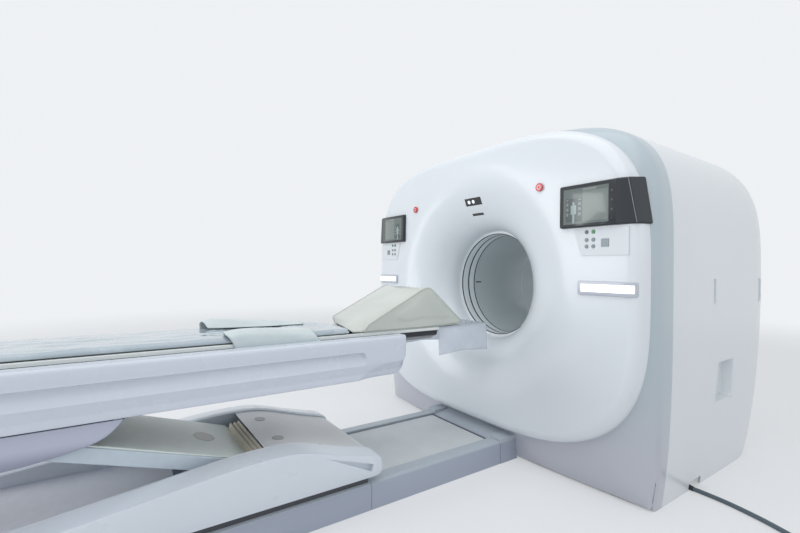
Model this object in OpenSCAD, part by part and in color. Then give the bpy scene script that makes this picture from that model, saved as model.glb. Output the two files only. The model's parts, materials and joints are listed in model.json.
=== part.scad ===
/* [Gantry covers] */
// Inside diameter of the patient bore
bore_d = 700; // [690:2:720]
// Height of the bore axis above the floor
bore_h = 1054; // [1045:1:1065]
// Distance from the anchor pattern's centre forward to the first bore ring
ring_front = 500; // [480:5:520]
// Diameter of the funnel where it meets the flat face
funnel_d = 1600; // [1560:5:1620]
// Depth of the funnel from the flat face to the first ring
funnel_depth = 287; // [270:1:300]
// Radial step between the funnel's lip and the bore
lip_step = 20; // [14:1:26]
// Widest width of the front cover
cover_w = 2260; // [2230:5:2290]
// Height of the front cover's top edge above the floor
cover_top = 1957; // [1945:1:1970]
// Height of the front cover's bottom edge above the floor
cover_bottom = 163; // [150:1:180]
// Radius of the front cover's rounded edge, measured on the face
edge_round = 68; // [50:1:74]
// Depth of the front cover's rounded edge
edge_depth = 75; // [60:1:90]
// Widest width of the side shells
shell_w = 2300; // [2290:2:2340]
// Height of the side shells' roof above the floor
shell_top = 1965; // [1958:1:1985]
// Width of the gantry at the floor
base_w = 2210; // [2180:5:2240]
// Distance from the first bore ring back to the outermost rear face
rear_back = 1420; // [1400:5:1450]
// Wall of the moulded covers
cover_wall = 8; // [6:1:10]
// Gap between neighbouring covers
cover_gap = 0.4; // [0.3:0.1:0.9]

/* [Panels on the face] */
// Width of a display's glass front
display_w = 312; // [290:2:320]
// Height of a display
display_h = 218; // [200:2:224]
// Distance from the centre line to a display's inner end
display_x = 718; // [714:1:724]
// Height of a display's lower edge
display_z = 1371; // [1369:1:1380]
// Amount that a display stands proud of the face
display_proud = 24; // [16:1:30]
// Diameter of a round panel button
button_d = 19; // [14:1:22]
// Width of the square panel button
square_button = 38; // [30:1:42]
// Travel of a panel button
button_travel = 1.5; // [1:0.1:2]
// Diameter of the emergency stop button
stop_d = 46; // [36:1:54]
// Travel of the emergency stop button
stop_travel = 4; // [3:0.5:5]
// Distance from the centre line to an emergency stop button
stop_x = 578; // [570:2:590]
// Height of the emergency stop buttons
stop_z = 1613; // [1600:1:1625]
// Length of a light bar
light_l = 268; // [240:2:270]
// Height of a light bar
light_h = 70; // [60:1:78]
// Height of a light bar's middle
light_z = 1066; // [1050:1:1080]

/* [Floor track] */
// Outside width of the floor track
track_w = 700; // [680:2:720]
// Height of the track's rails
track_h = 130; // [120:1:140]
// Width of one rail
rail_w = 82; // [74:1:90]
// Length of the track in front of the base
track_l = 3260; // [3200:10:3400]
// Pitch of the ribs on the mat
rib_pitch = 60; // [50:2:80]

/* [Moving base] */
// Outside width across the fairings
sled_w = 776; // [760:2:800]
// Width between the fairings
hood_w = 600; // [590:2:606]
// Highest point of the fairings above the floor
sled_top = 382; // [372:1:386]
// Height of the gap between the rails and the fairings
sled_lift = 42; // [34:1:50]
// Length of the fairings
sled_l = 1980; // [1900:10:2050]
// Distance from the first bore ring to the fairings' nose
sled_front = 1170; // [1160:5:1200]

/* [Lift arm] */
// Distance between the arm's two pivots
arm_l = 1000; // [960:5:1010]
// Angle of the arm above level, as it stands
arm_rise = 18; // [16:0.5:19]
// Outside width of the arm
arm_w = 460; // [440:2:470]
// Height of the lower arm pivot above the floor
pivot_z = 232; // [228:1:240]
// Distance from the nose back to the lower arm pivot
pivot_back = 430; // [420:5:450]
// Radius of the arm's pins
pin_r = 15; // [12:0.5:17]
// Drop from an arm pivot to the levelling link's pivot
link_drop = 45; // [43:1:48]
// Running clearance of the pins
pin_fit = 0.05; // [0.02:0.01:0.1]

/* [Patient table] */
// Length of the table's body
table_l = 2450; // [2400:10:2500]
// Width of the table's body
table_w = 596; // [580:2:610]
// Height of the table's top edge above the floor
table_top = 806; // [800:1:812]
// Height of the table's underside above the floor
table_bottom = 604; // [600:1:612]
// Distance from the first bore ring to the table's end
table_front = 985; // [980:1:1000]
// Length of the cradle
cradle_l = 2380; // [2300:10:2450]
// Width of the cradle
cradle_w = 428; // [410:2:432]
// Distance from the first bore ring to the cradle's end
cradle_front = 700; // [690:5:720]
// Height of the cradle's edges above the floor
cradle_top = 820; // [816:1:826]
// Length of the head tongue beyond the cradle
tongue_l = 385; // [360:5:390]

/* [Hidden] */
$fn = 64;

seat = 0.3;
liner_wall = 5;
ring_y = -ring_front;
face_y = ring_y - funnel_depth;
lip_r = bore_d / 2 + lip_step;
funnel_r = funnel_d / 2;
rim_y = face_y + edge_depth + 10;
band_front = rim_y + seat;
band_back = ring_y - 23;
shell_front = band_back + cover_gap;
rear_y = ring_y + rear_back;
rear_lip_y = rear_y - 70;
rear_mouth_r = 580;
rear_lip_r = bore_d / 2 + liner_wall + seat;
half_shell = shell_w / 2;
corner_a = atan2(bore_h, base_w / 2);
arch_steps = 64;
floor_steps = 16;
steps = arch_steps + floor_steps;
angles = concat([for (i = [0:arch_steps - 1]) -corner_a + i * (180 + 2 * corner_a) / arch_steps],
    [for (i = [0:floor_steps - 1]) 180 + corner_a + i * (180 - 2 * corner_a) / floor_steps]);

// Outlines round the bore axis, as a radius at each angle
function oval_r(a, w, up, down, n_up, n_down) =
    let (h = sin(a) >= 0 ? up : down, n = sin(a) >= 0 ? n_up : n_down)
    pow(pow(abs(cos(a)) / (w / 2), n) + pow(abs(sin(a)) / h, n), -1 / n);
function edge_r(a) = oval_r(a, cover_w, cover_top - bore_h, bore_h - cover_bottom, 3.6, 3.3);
function below(a) = sin(a) < 0 ? min(1, abs(tan(a)) / tan(corner_a)) : 0;
function on_floor(a) = sin(a) < 0 && abs(tan(a)) >= tan(corner_a) * 0.9999;
function shell_r(a) = sin(a) >= 0 ? oval_r(a, shell_w, shell_top - bore_h, bore_h, 4.6, 4.6)
    : on_floor(a) ? bore_h / abs(sin(a))
    : (half_shell - (shell_w - base_w) / 2 * pow(below(a), 3)) / abs(cos(a));
function around(r, a) = [r * cos(a), r * sin(a)];
function at(p, y) = [p[0], y, bore_h + p[1]];

// A point of the shell outline, drawn in at the side and the roof, and kept w above the floor
function inset(p, side, roof, w) = [p[0] * (1 - (side + w) / half_shell),
    p[1] >= 0 ? p[1] * (1 - (roof + w) / (shell_top - bore_h)) : max(p[1], w - bore_h)];
function shell_pt(a, side, roof, w) = inset(around(shell_r(a), a), side, roof, w);

// The rounded rear corner: where it starts, how long and how deep it is
function up_share(a) = sin(a) > 0 ? pow(sin(a), 2) : 0;
function low_share(a) = pow(below(a), 1.5);
corner_side = 120;
corner_roof = 240;
shell_turn = 74;
rear_turn = shell_turn + 0.15;
function corner_len(a) = 330 + 200 * up_share(a) - 30 * low_share(a);
function rear_at(a) = rear_y - 20 * up_share(a) - 170 * low_share(a);
function corner_pt(a, turn, w) =
    at(shell_pt(a, corner_side * (1 - cos(turn)), corner_roof * (1 - cos(turn)), w),
        rear_at(a) - corner_len(a) + (corner_len(a) - w) * sin(turn));

// A closed ring of loops, each with the same number of points
module ring_loft(loops) {
    n = len(loops[0]);
    m = len(loops);
    polyhedron(points = [for (l = loops) each l],
        faces = [for (k = [0:m - 1], i = [0:n - 1])
            let (a = k * n + i, b = k * n + (i + 1) % n,
                c = ((k + 1) % m) * n + (i + 1) % n, d = ((k + 1) % m) * n + i)
            each [[a, b, c], [a, c, d]]], convexity = 10);
}

// A run of loops closed by a flat cap at both ends
module capped_loft(loops) {
    n = len(loops[0]);
    m = len(loops);
    polyhedron(points = [for (l = loops) each l],
        faces = concat([for (k = [0:m - 2], i = [0:n - 1])
            let (a = k * n + i, b = k * n + (i + 1) % n, c = (k + 1) * n + (i + 1) % n, d = (k + 1) * n + i)
            each [[a, b, c], [a, c, d]]],
            [[for (i = [n - 1:-1:0]) i]], [[for (i = [0:n - 1]) (m - 1) * n + i]]), convexity = 6);
}

// A curved panel with a wall: rows run from front to back, and each row is a list of points
module panel(outer, inner) {
    n = len(outer[0]);
    rows = concat(outer, [for (k = [len(inner) - 1:-1:0]) inner[k]]);
    m = len(rows);
    polyhedron(points = [for (r = rows) each r],
        faces = concat([for (k = [0:m - 1], i = [0:n - 2])
            let (a = k * n + i, b = a + 1, c = ((k + 1) % m) * n + i + 1, d = c - 1)
            each [[a, b, c], [a, c, d]]],
            [for (k = [0:m / 2 - 2]) let (a = k * n, b = a + n, c = (m - 2 - k) * n, d = (m - 1 - k) * n)
                each [[a, b, c], [a, c, d]]],
            [for (k = [0:m / 2 - 2]) let (a = k * n + n - 1, b = a + n,
                c = (m - 1 - k) * n - 1, d = (m - k) * n - 1) each [[a, c, b], [a, d, c]]]),
        convexity = 8);
}

// A box given by its low and high corners
module block(low, high) {
    translate(low) cube(high - low);
}

// A ring round the bore axis from a profile of radius and depth
module bore_turn(profile, arc = 360, start = 0, facets = 96) {
    translate([0, 0, bore_h]) rotate([-90, 0, 0]) rotate([0, 0, start])
        rotate_extrude(angle = arc, $fn = facets) polygon(profile);
}

// A plain ring: inner and outer radius, front and back
module bore_ring(r1, r2, y1, y2, facets = 96) {
    bore_turn([[r1, y1], [r2, y1], [r2, y2], [r1, y2]], facets = facets);
}

// A round cut along the bore axis
module bore_cut(r, y1, y2) {
    translate([0, y1, bore_h]) rotate([-90, 0, 0]) cylinder(r = r, h = y2 - y1, $fn = 96);
}

// A bar along X with its middle on a given height and depth
module cross_bar(r, x1, x2, y, z) {
    translate([x1, y, z]) rotate([0, 90, 0]) cylinder(r = r, h = x2 - x1);
}

// Front cover
function funnel_loop(turn, w) =
    [for (a = angles) at(around(funnel_r - (funnel_r - lip_r - w) * cos(turn), a),
        ring_y - (funnel_depth - w) * sin(turn))];
function edge_loop(turn, w) =
    [for (a = angles) at(around(edge_r(a) - w - (edge_round - w) * (1 - sin(turn)), a),
        face_y + w + (edge_depth - w) * (1 - cos(turn)))];
function edge_back(w) = [for (a = angles) at(around(edge_r(a) - w, a), rim_y)];

module cover_skin() {
    ring_loft(concat([for (t = [0:7]) funnel_loop(t * 90 / 7, 0)],
        [for (t = [0:3]) edge_loop(t * 30, 0)], [edge_back(0)],
        [edge_back(cover_wall)], [for (t = [2:-1:0]) edge_loop(t * 45, cover_wall)],
        [for (t = [5:-1:0]) funnel_loop(t * 18, cover_wall)]));
}

// A frame on the funnel above the bore: x across, y out of the surface
function funnel_turn(r) = acos((funnel_r - r) / (funnel_r - lip_r));
module on_funnel(r) {
    t = funnel_turn(r);
    slope = atan2(cos(t) / (funnel_r - lip_r), sin(t) / funnel_depth);
    translate([0, ring_y - funnel_depth * sin(t), bore_h + r]) rotate([slope, 0, 0]) children();
}
status_r = 556;
status_size = [150, 52];
slot_r = 475;
slot_size = [104, 18];
window_depth = 14;

module window_shape(size, grow, proud) {
    block([-size[0] / 2 - grow, -proud, -size[1] / 2 - grow],
        [size[0] / 2 + grow, window_depth + grow, size[1] / 2 + grow]);
}

// Plan of a display: the glass front, then two facets that fall back round the corner
display_x2 = display_x + display_w;
display_y = face_y - display_proud;
display_back = face_y + 118;
display_plan = [[display_x, display_y], [display_x2, display_y], [display_x2 + 44, display_y + 42],
    [display_x2 + 84, display_y + 138], [display_x2 + 56, display_back], [display_x2 + 10, face_y + 40],
    [display_x, face_y + 26]];
module display_shape(grow) {
    translate([0, 0, display_z - grow]) linear_extrude(display_h + 2 * grow)
        offset(delta = grow) polygon(display_plan);
}

panel_top = 1361;
panel_bottom = 1228;
panel_x1 = 792;
panel_x2 = 1072;
panel_t = 4;
button_r = button_d / 2;
flange = 2;
button_rows = [[863, 1345], [899, 1345], [863, 1306], [899, 1306], [863, 1273], [899, 1273]];
square_at = [959, 1289];
button_out = 3;

// Places the children behind the face at a point of it, with +Z pointing out of the face
module on_face(p) {
    translate([p[0], face_y, p[1]]) rotate([90, 0, 0]) children();
}

light_x = 825;
light_out = 14;
light_in = 30;
module light_shape(grow) {
    block([light_x - grow, face_y - light_out - grow, light_z - light_h / 2 - grow],
        [light_x + light_l + grow, face_y + light_in + grow, light_z + light_h / 2 + grow]);
}

module both_sides() {
    children();
    mirror([1, 0, 0]) children();
}

stem_r = 11;
stop_collar = 6;
module front_cover() {
    color("white") difference() {
        cover_skin();
        both_sides() {
            display_shape(seat);
            light_shape(seat);
            block([button_rows[0][0] - 16, face_y - 5, panel_bottom + 14],
                [square_at[0] + 34, face_y + cover_wall + 5, panel_top - 2]);
            on_face([stop_x, stop_z]) translate([0, 0, -30]) cylinder(r = stem_r + seat, h = 60);
        }
        on_funnel(status_r) window_shape(status_size, seat, 20);
        on_funnel(slot_r) window_shape(slot_size, seat, 20);
    }
}

// Grey band and plinth in one moulding
function crease_y(a) = let (x = abs(shell_r(a) * cos(a)) / (base_w / 2))
    ring_y - 115 - 75 * (on_floor(a) ? max(0, 1 - x * x) : 0);
function band_pt(a, share, y_share, w) =
    at(around((edge_r(a) - 6) * (1 - share) + (shell_r(a) - w) * share - (share < 1 ? w : 0), a),
        band_front * (1 - y_share) + (crease_y(a) + w / 2) * y_share);
module bezel_band() {
    color("lightsteelblue") difference() {
        ring_loft([[for (a = angles) band_pt(a, 0, 0, 0)],
            [for (a = angles) band_pt(a, 0.5, 0.3, 0)],
            [for (a = angles) band_pt(a, 1, 1, 0)],
            [for (a = angles) at(shell_pt(a, 0, 0, 0), band_back)],
            [for (a = angles) at(shell_pt(a, 0, 0, cover_wall), band_back)],
            [for (a = angles) at(shell_pt(a, 0, 0, cover_wall), crease_y(a) + cover_wall)],
            [for (a = angles) at(around(edge_r(a) - 6 - cover_wall, a), band_front)]]);
        both_sides() display_shape(7);
        block([-block_x - seat, band_front - 60, -1], [block_x + seat, band_back + 1, block_h + seat]);
    }
}

// Side shells, which meet on top
slot_w = 35;
slot_low = 974;
slot_high = 1120;
slot_y = [-30, 680];
grip_y = [0, 250];
grip_z = [430, 656];
grip_in = 60;
notch_y = [-230, -90];
notch_h = 46;
function side_x(z) = half_shell - (shell_w - base_w) / 2 * pow(max(0, bore_h - z) / bore_h, 3);
function shell_row(first, last, turn, w) = [for (i = [first:last])
    let (a = -corner_a + i * (180 + 2 * corner_a) / arch_steps) corner_pt(a, turn, w)];
function shell_front_row(first, last, w) = [for (i = [first:last])
    let (a = -corner_a + i * (180 + 2 * corner_a) / arch_steps) at(shell_pt(a, 0, 0, w), shell_front)];
grip_h = grip_z[1] - grip_z[0];
grip_tilt = atan((side_x(grip_z[1]) - side_x(grip_z[0])) / grip_h);
// Prism along the shell's side, from depth x1 to x2 behind its surface
module grip_prism(x1, x2, grow) {
    translate([side_x(grip_z[0]), 0, grip_z[0]]) rotate([0, grip_tilt, 0]) translate([x1, 0, 0])
        rotate([90, 0, 90]) linear_extrude(x2 - x1)
        polygon([[grip_y[0] - grow, -grow], [grip_y[1] - 14 + grow, -grow],
            [grip_y[1] + grow, grip_h + grow], [grip_y[0] + 30 - grow, grip_h + grow]]);
}
module half_shell_form() {
    half = arch_steps / 2;
    turns = [0, 19, 37, 56, shell_turn];
    difference() {
        union() {
            panel(concat([shell_front_row(0, half, 0)], [for (t = turns) shell_row(0, half, t, 0)]),
                concat([shell_front_row(0, half, cover_wall)], [for (t = turns) shell_row(0, half, t, cover_wall)]));
            grip_prism(-grip_in, -cover_wall / 2, 6);
            for (y = slot_y)
                block([half_shell - 24, y - slot_w / 2 - 5, slot_low - 5],
                    [half_shell - 6, y + slot_w / 2 + 5, slot_high + 5]);
        }
        grip_prism(6 - grip_in, 20, 0);
        for (y = slot_y)
            block([half_shell - 18, y - slot_w / 2, slot_low], [half_shell + 20, y + slot_w / 2, slot_high]);
        block([base_w / 2 - 120, notch_y[0], -1], [half_shell + 20, notch_y[1], notch_h]);
    }
}
module right_shell() {
    color("whitesmoke") translate([cover_gap / 2, 0, 0]) intersection() {
        half_shell_form();
        block([0, shell_front - 1, -1], [shell_w, rear_y, 2 * shell_top]);
    }
}
module left_shell() {
    mirror([1, 0, 0]) right_shell();
}

// Rear cover with its own shallow funnel
function rear_face(r, w) = [for (a = angles) at(around(r, a), rear_y - w)];
function rear_funnel(turn, w) =
    [for (a = angles) at(around(rear_mouth_r - (rear_mouth_r - rear_lip_r - w) * cos(turn), a),
        rear_lip_y + (rear_y - rear_lip_y - w) * sin(turn))];
module rear_cover() {
    color("whitesmoke") ring_loft(concat(
        [for (t = [5:-1:0]) rear_funnel(t * 18, cover_wall)],
        [for (t = [0:3]) rear_funnel(t * 30, 0)],
        [for (t = [90, rear_turn]) [for (a = angles) corner_pt(a, t, 0)]],
        [for (t = [rear_turn, 90]) [for (a = angles) corner_pt(a, t, cover_wall)]]));
}

// Bore lining
ring_pitch = 61;
seal_t = 6;
liner_y = ring_y + 2 * ring_pitch + seal_t;
slit_l = 60;
slit_h = 9;
module slit(a) {
    translate([0, liner_y + 14, bore_h]) rotate([0, -a, 0])
        block([bore_d / 2 - 3, 0, -slit_h / 2], [bore_d / 2 + liner_wall + 3, slit_l, slit_h / 2]);
}
module bore_liner() {
    color("gainsboro") difference() {
        bore_ring(bore_d / 2, bore_d / 2 + liner_wall, liner_y, rear_lip_y);
        for (a = [0, 90, 180]) slit(a);
    }
}
module bore_rings() {
    color("white") for (k = [0, 1])
        bore_ring(bore_d / 2, lip_r - seat, ring_y + seal_t + k * ring_pitch, ring_y + (k + 1) * ring_pitch);
}
module bore_seals() {
    color("dimgray") for (k = [0:2])
        bore_ring(bore_d / 2 - 1, k == 0 ? lip_r - 1 : lip_r - 3, ring_y + k * ring_pitch,
            ring_y + k * ring_pitch + seal_t);
}
module sensor_windows() {
    color("black") {
        on_funnel(status_r) window_shape(status_size, 0, 1);
        on_funnel(slot_r) window_shape(slot_size, 0, 1);
        for (a = [0, 90, 180]) translate([0, liner_y + 14 + seat, bore_h]) rotate([0, -a, 0])
            block([bore_d / 2 + 0.5, 0, seat - slit_h / 2],
                [bore_d / 2 + liner_wall + 6, slit_l - 2 * seat, slit_h / 2 - seat]);
    }
}

// Displays, panels, buttons and lights
module displays() {
    color("dimgray") both_sides() display_shape(0);
}
module panel_plate() {
    translate([0, face_y - seat, 0]) rotate([90, 0, 0]) linear_extrude(panel_t)
        polygon([[panel_x1, panel_top], [panel_x1 + 40, panel_bottom], [panel_x2, panel_bottom],
            [panel_x2, panel_top - 4]]);
}
module right_panel() {
    difference() {
        panel_plate();
        for (p = button_rows) on_face(p) translate([0, 0, -5]) cylinder(r = button_r + seat, h = 20);
        on_face(square_at) translate([-square_button / 2 - seat, -square_button / 2 - seat, -5])
            cube([square_button + 2 * seat, square_button + 2 * seat, 20]);
    }
}
module control_panels() {
    color("white") both_sides() right_panel();
}
module round_button(p) {
    on_face(p) {
        translate([0, 0, 0]) cylinder(r = button_r, h = panel_t + seat + button_out);
        translate([0, 0, -flange]) cylinder(r = button_r + 2, h = flange);
    }
}
module square_key(p) {
    s = square_button;
    on_face(p) {
        translate([-s / 2, -s / 2, 0]) cube([s, s, panel_t + seat + button_out]);
        translate([-s / 2 - 2, -s / 2 - 2, -flange]) cube([s + 4, s + 4, flange]);
    }
}
module panel_button(k) {
    color(k == 2 ? "green" : "slategray") if (k < 7) round_button(button_rows[k - 1]);
    else square_key(square_at);
}
module stop_button() {
    color("crimson") on_face([stop_x, stop_z]) {
        translate([0, 0, stop_travel + seat]) cylinder(r = stop_d / 2, h = 9);
        translate([0, 0, -20]) cylinder(r = stem_r, h = 20 + stop_travel + seat + 1);
        translate([0, 0, -20 - stop_collar]) cylinder(r = stem_r + 5, h = stop_collar);
    }
}
bezel_t = 9;
module light_bars() {
    color("silver") both_sides() difference() {
        light_shape(0);
        block([light_x + bezel_t, face_y - light_out - 1, light_z - light_h / 2 + bezel_t],
            [light_x + light_l - bezel_t, face_y - light_out + 3, light_z + light_h / 2 - bezel_t]);
    }
}

// Frame, bearing and drive inside the gantry
anchor_x = base_w - 810;
anchor_y = 900;
anchor_r = 11;
frame_h = 90;
frame_w = 160;
plate_y = 80;
plate_t = 40;
plate_r = 830;
bearing_r1 = bore_d / 2 + 80;
bearing_r2 = bearing_r1 + 70;
bearing_t = 70;
rear_ring_y = 330;
rear_ring_t = 300;
rear_ring_r1 = bore_d / 2 + 50;
rear_ring_r2 = rear_ring_r1 + 240;
bracket_z = 60;
bracket_y = 300;
bracket_w = 80;
foot_end = 60;
foot_tail = 150;
beam = 100;
stay_x = 420;
stay_w = 120;
bracket_x = side_x(bracket_z - 10) - cover_wall - 0.6;
module gantry_frame() {
    color("slategray") difference() {
        union() {
            for (s = [-1, 1])
                block([s * anchor_x / 2 - frame_w / 2, -anchor_y / 2 - foot_end, 0],
                    [s * anchor_x / 2 + frame_w / 2, anchor_y / 2 + foot_end + foot_tail, frame_h]);
            for (y = [-anchor_y / 2, plate_y, rear_ring_y + 140])
                block([-anchor_x / 2, y - beam / 2, 0], [anchor_x / 2, y + beam / 2, frame_h]);
            for (s = [-1, 1])
                block([s * anchor_x / 2 - beam / 2, plate_y, frame_h - 1],
                    [s * anchor_x / 2 + beam / 2, plate_y + plate_t, bore_h]);
            block([-anchor_x / 2, plate_y, frame_h - 1], [anchor_x / 2, plate_y + plate_t, bore_h]);
            bore_ring(bearing_r2, plate_r, plate_y, plate_y + plate_t);
            for (s = [-1, 1]) {
                block([s * stay_x - stay_w / 2, rear_ring_y + 110, frame_h - 1],
                    [s * stay_x + stay_w / 2, rear_ring_y + 170, bore_h - rear_ring_r1]);
                for (y = [-bracket_y, bracket_y])
                    block([s > 0 ? anchor_x / 2 : -bracket_x, y - bracket_w / 2, bracket_z - 10],
                        [s > 0 ? bracket_x : -anchor_x / 2, y + bracket_w / 2, bracket_z]);
            }
            block([anchor_x / 2, motor_y - 40, frame_h - 30], [motor_x + 90, motor_y + motor_l + 20, frame_h]);
            block([anchor_x / 2, route[0][1] - 40, 0], [route[0][0], route[0][1] + 40, 4 * cable_r]);
        }
        bore_cut(bearing_r2 + pin_fit, plate_y - 1, plate_y + plate_t + 1);
        bore_cut(rear_ring_r2 + pin_fit, rear_ring_y - 1, rear_ring_y + rear_ring_t + 1);
        for (x = [-1, 1], y = [-1, 1])
            translate([x * anchor_x / 2, y * anchor_y / 2, -1]) cylinder(r = anchor_r, h = frame_h + 2);
    }
}
module main_bearing() {
    color("silver") bore_ring(bearing_r1 + pin_fit, bearing_r2, plate_y - bearing_t / 2, plate_y + plate_t + 10);
}
module rear_detector_ring() {
    color("gray") bore_ring(rear_ring_r1, rear_ring_r2, rear_ring_y, rear_ring_y + rear_ring_t);
}
drum_r1 = bore_d / 2 + 35;
drum_r2 = 760;
disc_y = -60;
disc_t = 40;
rim_t = 60;
drum_back = plate_y + plate_t + 10;
module rotor_drum() {
    color("lightgray") bore_turn([[drum_r1, disc_y], [drum_r2, disc_y], [drum_r2, disc_y + rim_t],
        [drum_r2 - 20, disc_y + rim_t], [drum_r2 - 20, disc_y + disc_t], [bearing_r1, disc_y + disc_t],
        [bearing_r1, drum_back], [drum_r1, drum_back]]);
}
load_y = disc_y - 240;
tube_case_r = 105;
tube_at = rear_ring_r2 - 50;
tube_foot = [180, 150];
module xray_tube() {
    color("silver") translate([0, load_y, bore_h + tube_at]) rotate([-90, 0, 0]) {
        cylinder(r = tube_case_r, h = disc_y - load_y);
        translate([-tube_foot[0] / 2, 0, 0]) cube([tube_foot[0], tube_foot[1], disc_y - load_y]);
    }
}
tank_turn = 62;
tank_w = 260;
module generator_tank() {
    color("lightgray") for (s = [-1, 1]) translate([0, 0, bore_h]) rotate([0, s * tank_turn, 0])
        block([-tank_w / 2, load_y + 20, bearing_r1], [tank_w / 2, disc_y, rear_ring_r2]);
}
arc_r1 = rear_ring_r2 - 80;
arc_r2 = rear_ring_r2 + 40;
arc_turn = 70;
module detector_arc() {
    color("dimgray") bore_turn([[arc_r1, load_y + 40], [arc_r2, load_y + 40], [arc_r2, disc_y], [arc_r1, disc_y]],
        arc = arc_turn, start = 90 - arc_turn / 2);
}
motor_x = base_w / 2 - 245;
motor_z = 200;
motor_l = 110;
motor_r = 85;
pulley_r = 60;
belt_y = disc_y + 10;
belt_w = 40;
belt_t = 8;
motor_y = belt_y + belt_w + 20;
module motor_pulley() {
    color("silver") translate([motor_x, belt_y - 10, motor_z]) rotate([-90, 0, 0]) {
        cylinder(r = pulley_r, h = belt_w + 10);
        cylinder(r = 15, h = 90);
    }
}
module drive_motor() {
    color("dimgray") translate([motor_x, motor_y, motor_z]) rotate([-90, 0, 0]) difference() {
        union() {
            cylinder(r = motor_r, h = motor_l);
            translate([-70, 20, 0]) cube([140, motor_z - frame_h - 20, motor_l]);
        }
        translate([0, 0, -1]) cylinder(r = 15 + pin_fit, h = 60);
    }
}
module belt_outline(grow) {
    hull() {
        translate([0, bore_h]) circle(r = drum_r2 + grow, $fn = 120);
        translate([motor_x, motor_z]) circle(r = pulley_r + grow, $fn = 48);
    }
}
module drive_belt() {
    color("black") translate([0, belt_y + belt_w, 0]) rotate([90, 0, 0]) linear_extrude(belt_w) difference() {
        belt_outline(seat + 0.5 + belt_t);
        belt_outline(seat + 0.5);
    }
}

// Power cable: route along the floor, coil of the spare length and plug
cable_r = 11;
route = [[1085, -210], [1110, -210], [1150, -210], [1195, -212], [1240, -216], [1285, -222], [1330, -232],
    [1375, -243], [1420, -256], [1460, -270], [1500, -286], [1545, -305], [1595, -327], [1640, -347],
    [1680, -363], [1720, -373]];
coil_r = 125;
coil_x = 1720;
coil_y = -520;
coil_in = coil_r - 3 * cable_r;
plug_r = 24;
plug_l = 120;
gland_r = 15;
gland_l = 34;
function unit(v) = v / norm(v);
module power_cable() {
    n = len(route);
    color("gray") capped_loft([for (k = [0:n - 1])
        let (t = unit(route[min(k + 1, n - 1)] - route[max(k - 1, 0)]))
        [for (i = [0:9]) let (b = 36 * i)
            [route[k][0] - cable_r * cos(b) * t[1], route[k][1] + cable_r * cos(b) * t[0], cable_r + cable_r * sin(b)]]]);
}
module cable_coil() {
    color("gray") translate([coil_x, coil_y, 0])
        rotate_extrude() translate([coil_in, 0]) square([6 * cable_r, 4 * cable_r]);
}
module cable_plug() {
    color("dimgray") translate([coil_x + coil_r, coil_y, 4 * cable_r + plug_r]) rotate([90, 0, 0]) {
        cylinder(r = gland_r, h = gland_l);
        translate([0, 0, gland_l - 1]) cylinder(r = plug_r, h = plug_l - gland_l);
    }
}

// Floor track and the ribbed mat between its rails
track_y2 = ring_y - 185;
track_y1 = track_y2 - track_l;
mat_y2 = ring_y - 340;
slot_gap = 12;
block_x = track_w / 2 + 2;
block_h = track_h + 16;
mat_w = track_w - 2 * rail_w - 2 * slot_gap;
mat_top = track_h - 10;
pan_t = 16;
mat_t = 12;
rail_seams = [ring_y - 205, ring_y - 330, ring_y - 1215];
module rail_profile() {
    polygon([[track_w / 2 - rail_w, 0], [track_w / 2, 0], [track_w / 2, track_h - 22],
        [track_w / 2 - 5, track_h - 8], [track_w / 2 - 18, track_h], [track_w / 2 - rail_w, track_h]]);
}
module rail(y1, y2) {
    translate([0, y2, 0]) rotate([90, 0, 0]) linear_extrude(y2 - y1) rail_profile();
}
module floor_track() {
    color("silver") {
        both_sides() {
            rail(track_y1, rail_seams[2] - 2);
            rail(rail_seams[2], rail_seams[1] - 2);
            block([track_w / 2 - rail_w - 4, rail_seams[1], 0], [block_x, track_y2, block_h]);
        }
        block([-track_w / 2 + rail_w - 1, track_y1, 0], [track_w / 2 - rail_w + 1, -anchor_y / 2 - 50 - seat, pan_t]);
        translate([-track_w / 2 + rail_w, 0, 0]) rotate([90, 0, 90]) linear_extrude(track_w - 2 * rail_w)
            polygon([[mat_y2 + seat, pan_t - 1], [track_y2, pan_t - 1], [track_y2, block_h - 2],
                [track_y2 - 20, block_h - 2], [mat_y2 + seat, mat_top]]);
    }
}
module ribbed_mat() {
    rib_h = 4;
    count = floor((track_l - 150) / rib_pitch);
    color("gainsboro") {
        translate([-mat_w / 2, 0, 0]) rotate([90, 0, 90]) linear_extrude(mat_w)
            polygon(concat([[mat_y2, mat_top - mat_t], [mat_y2, mat_top]],
                [for (k = [0:count - 1], q = [[0, 0], [4, -rib_h], [8, -rib_h], [12, 0]])
                    [mat_y2 - 30 - k * rib_pitch - q[0], mat_top + q[1]]],
                [[track_y1, mat_top], [track_y1, mat_top - mat_t]]));
        both_sides() block([mat_w / 2 - 6, track_y1, pan_t + seat], [mat_w / 2, mat_y2, mat_top - mat_t + 1]);
    }
}

// Moving base
nose_y = ring_y - sled_front;
sled_y1 = nose_y - sled_l;
sled_bottom = track_h + sled_lift;
pivot_y = nose_y - pivot_back;
deck_z = 228;
hood_back = pivot_back + 100;
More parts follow.
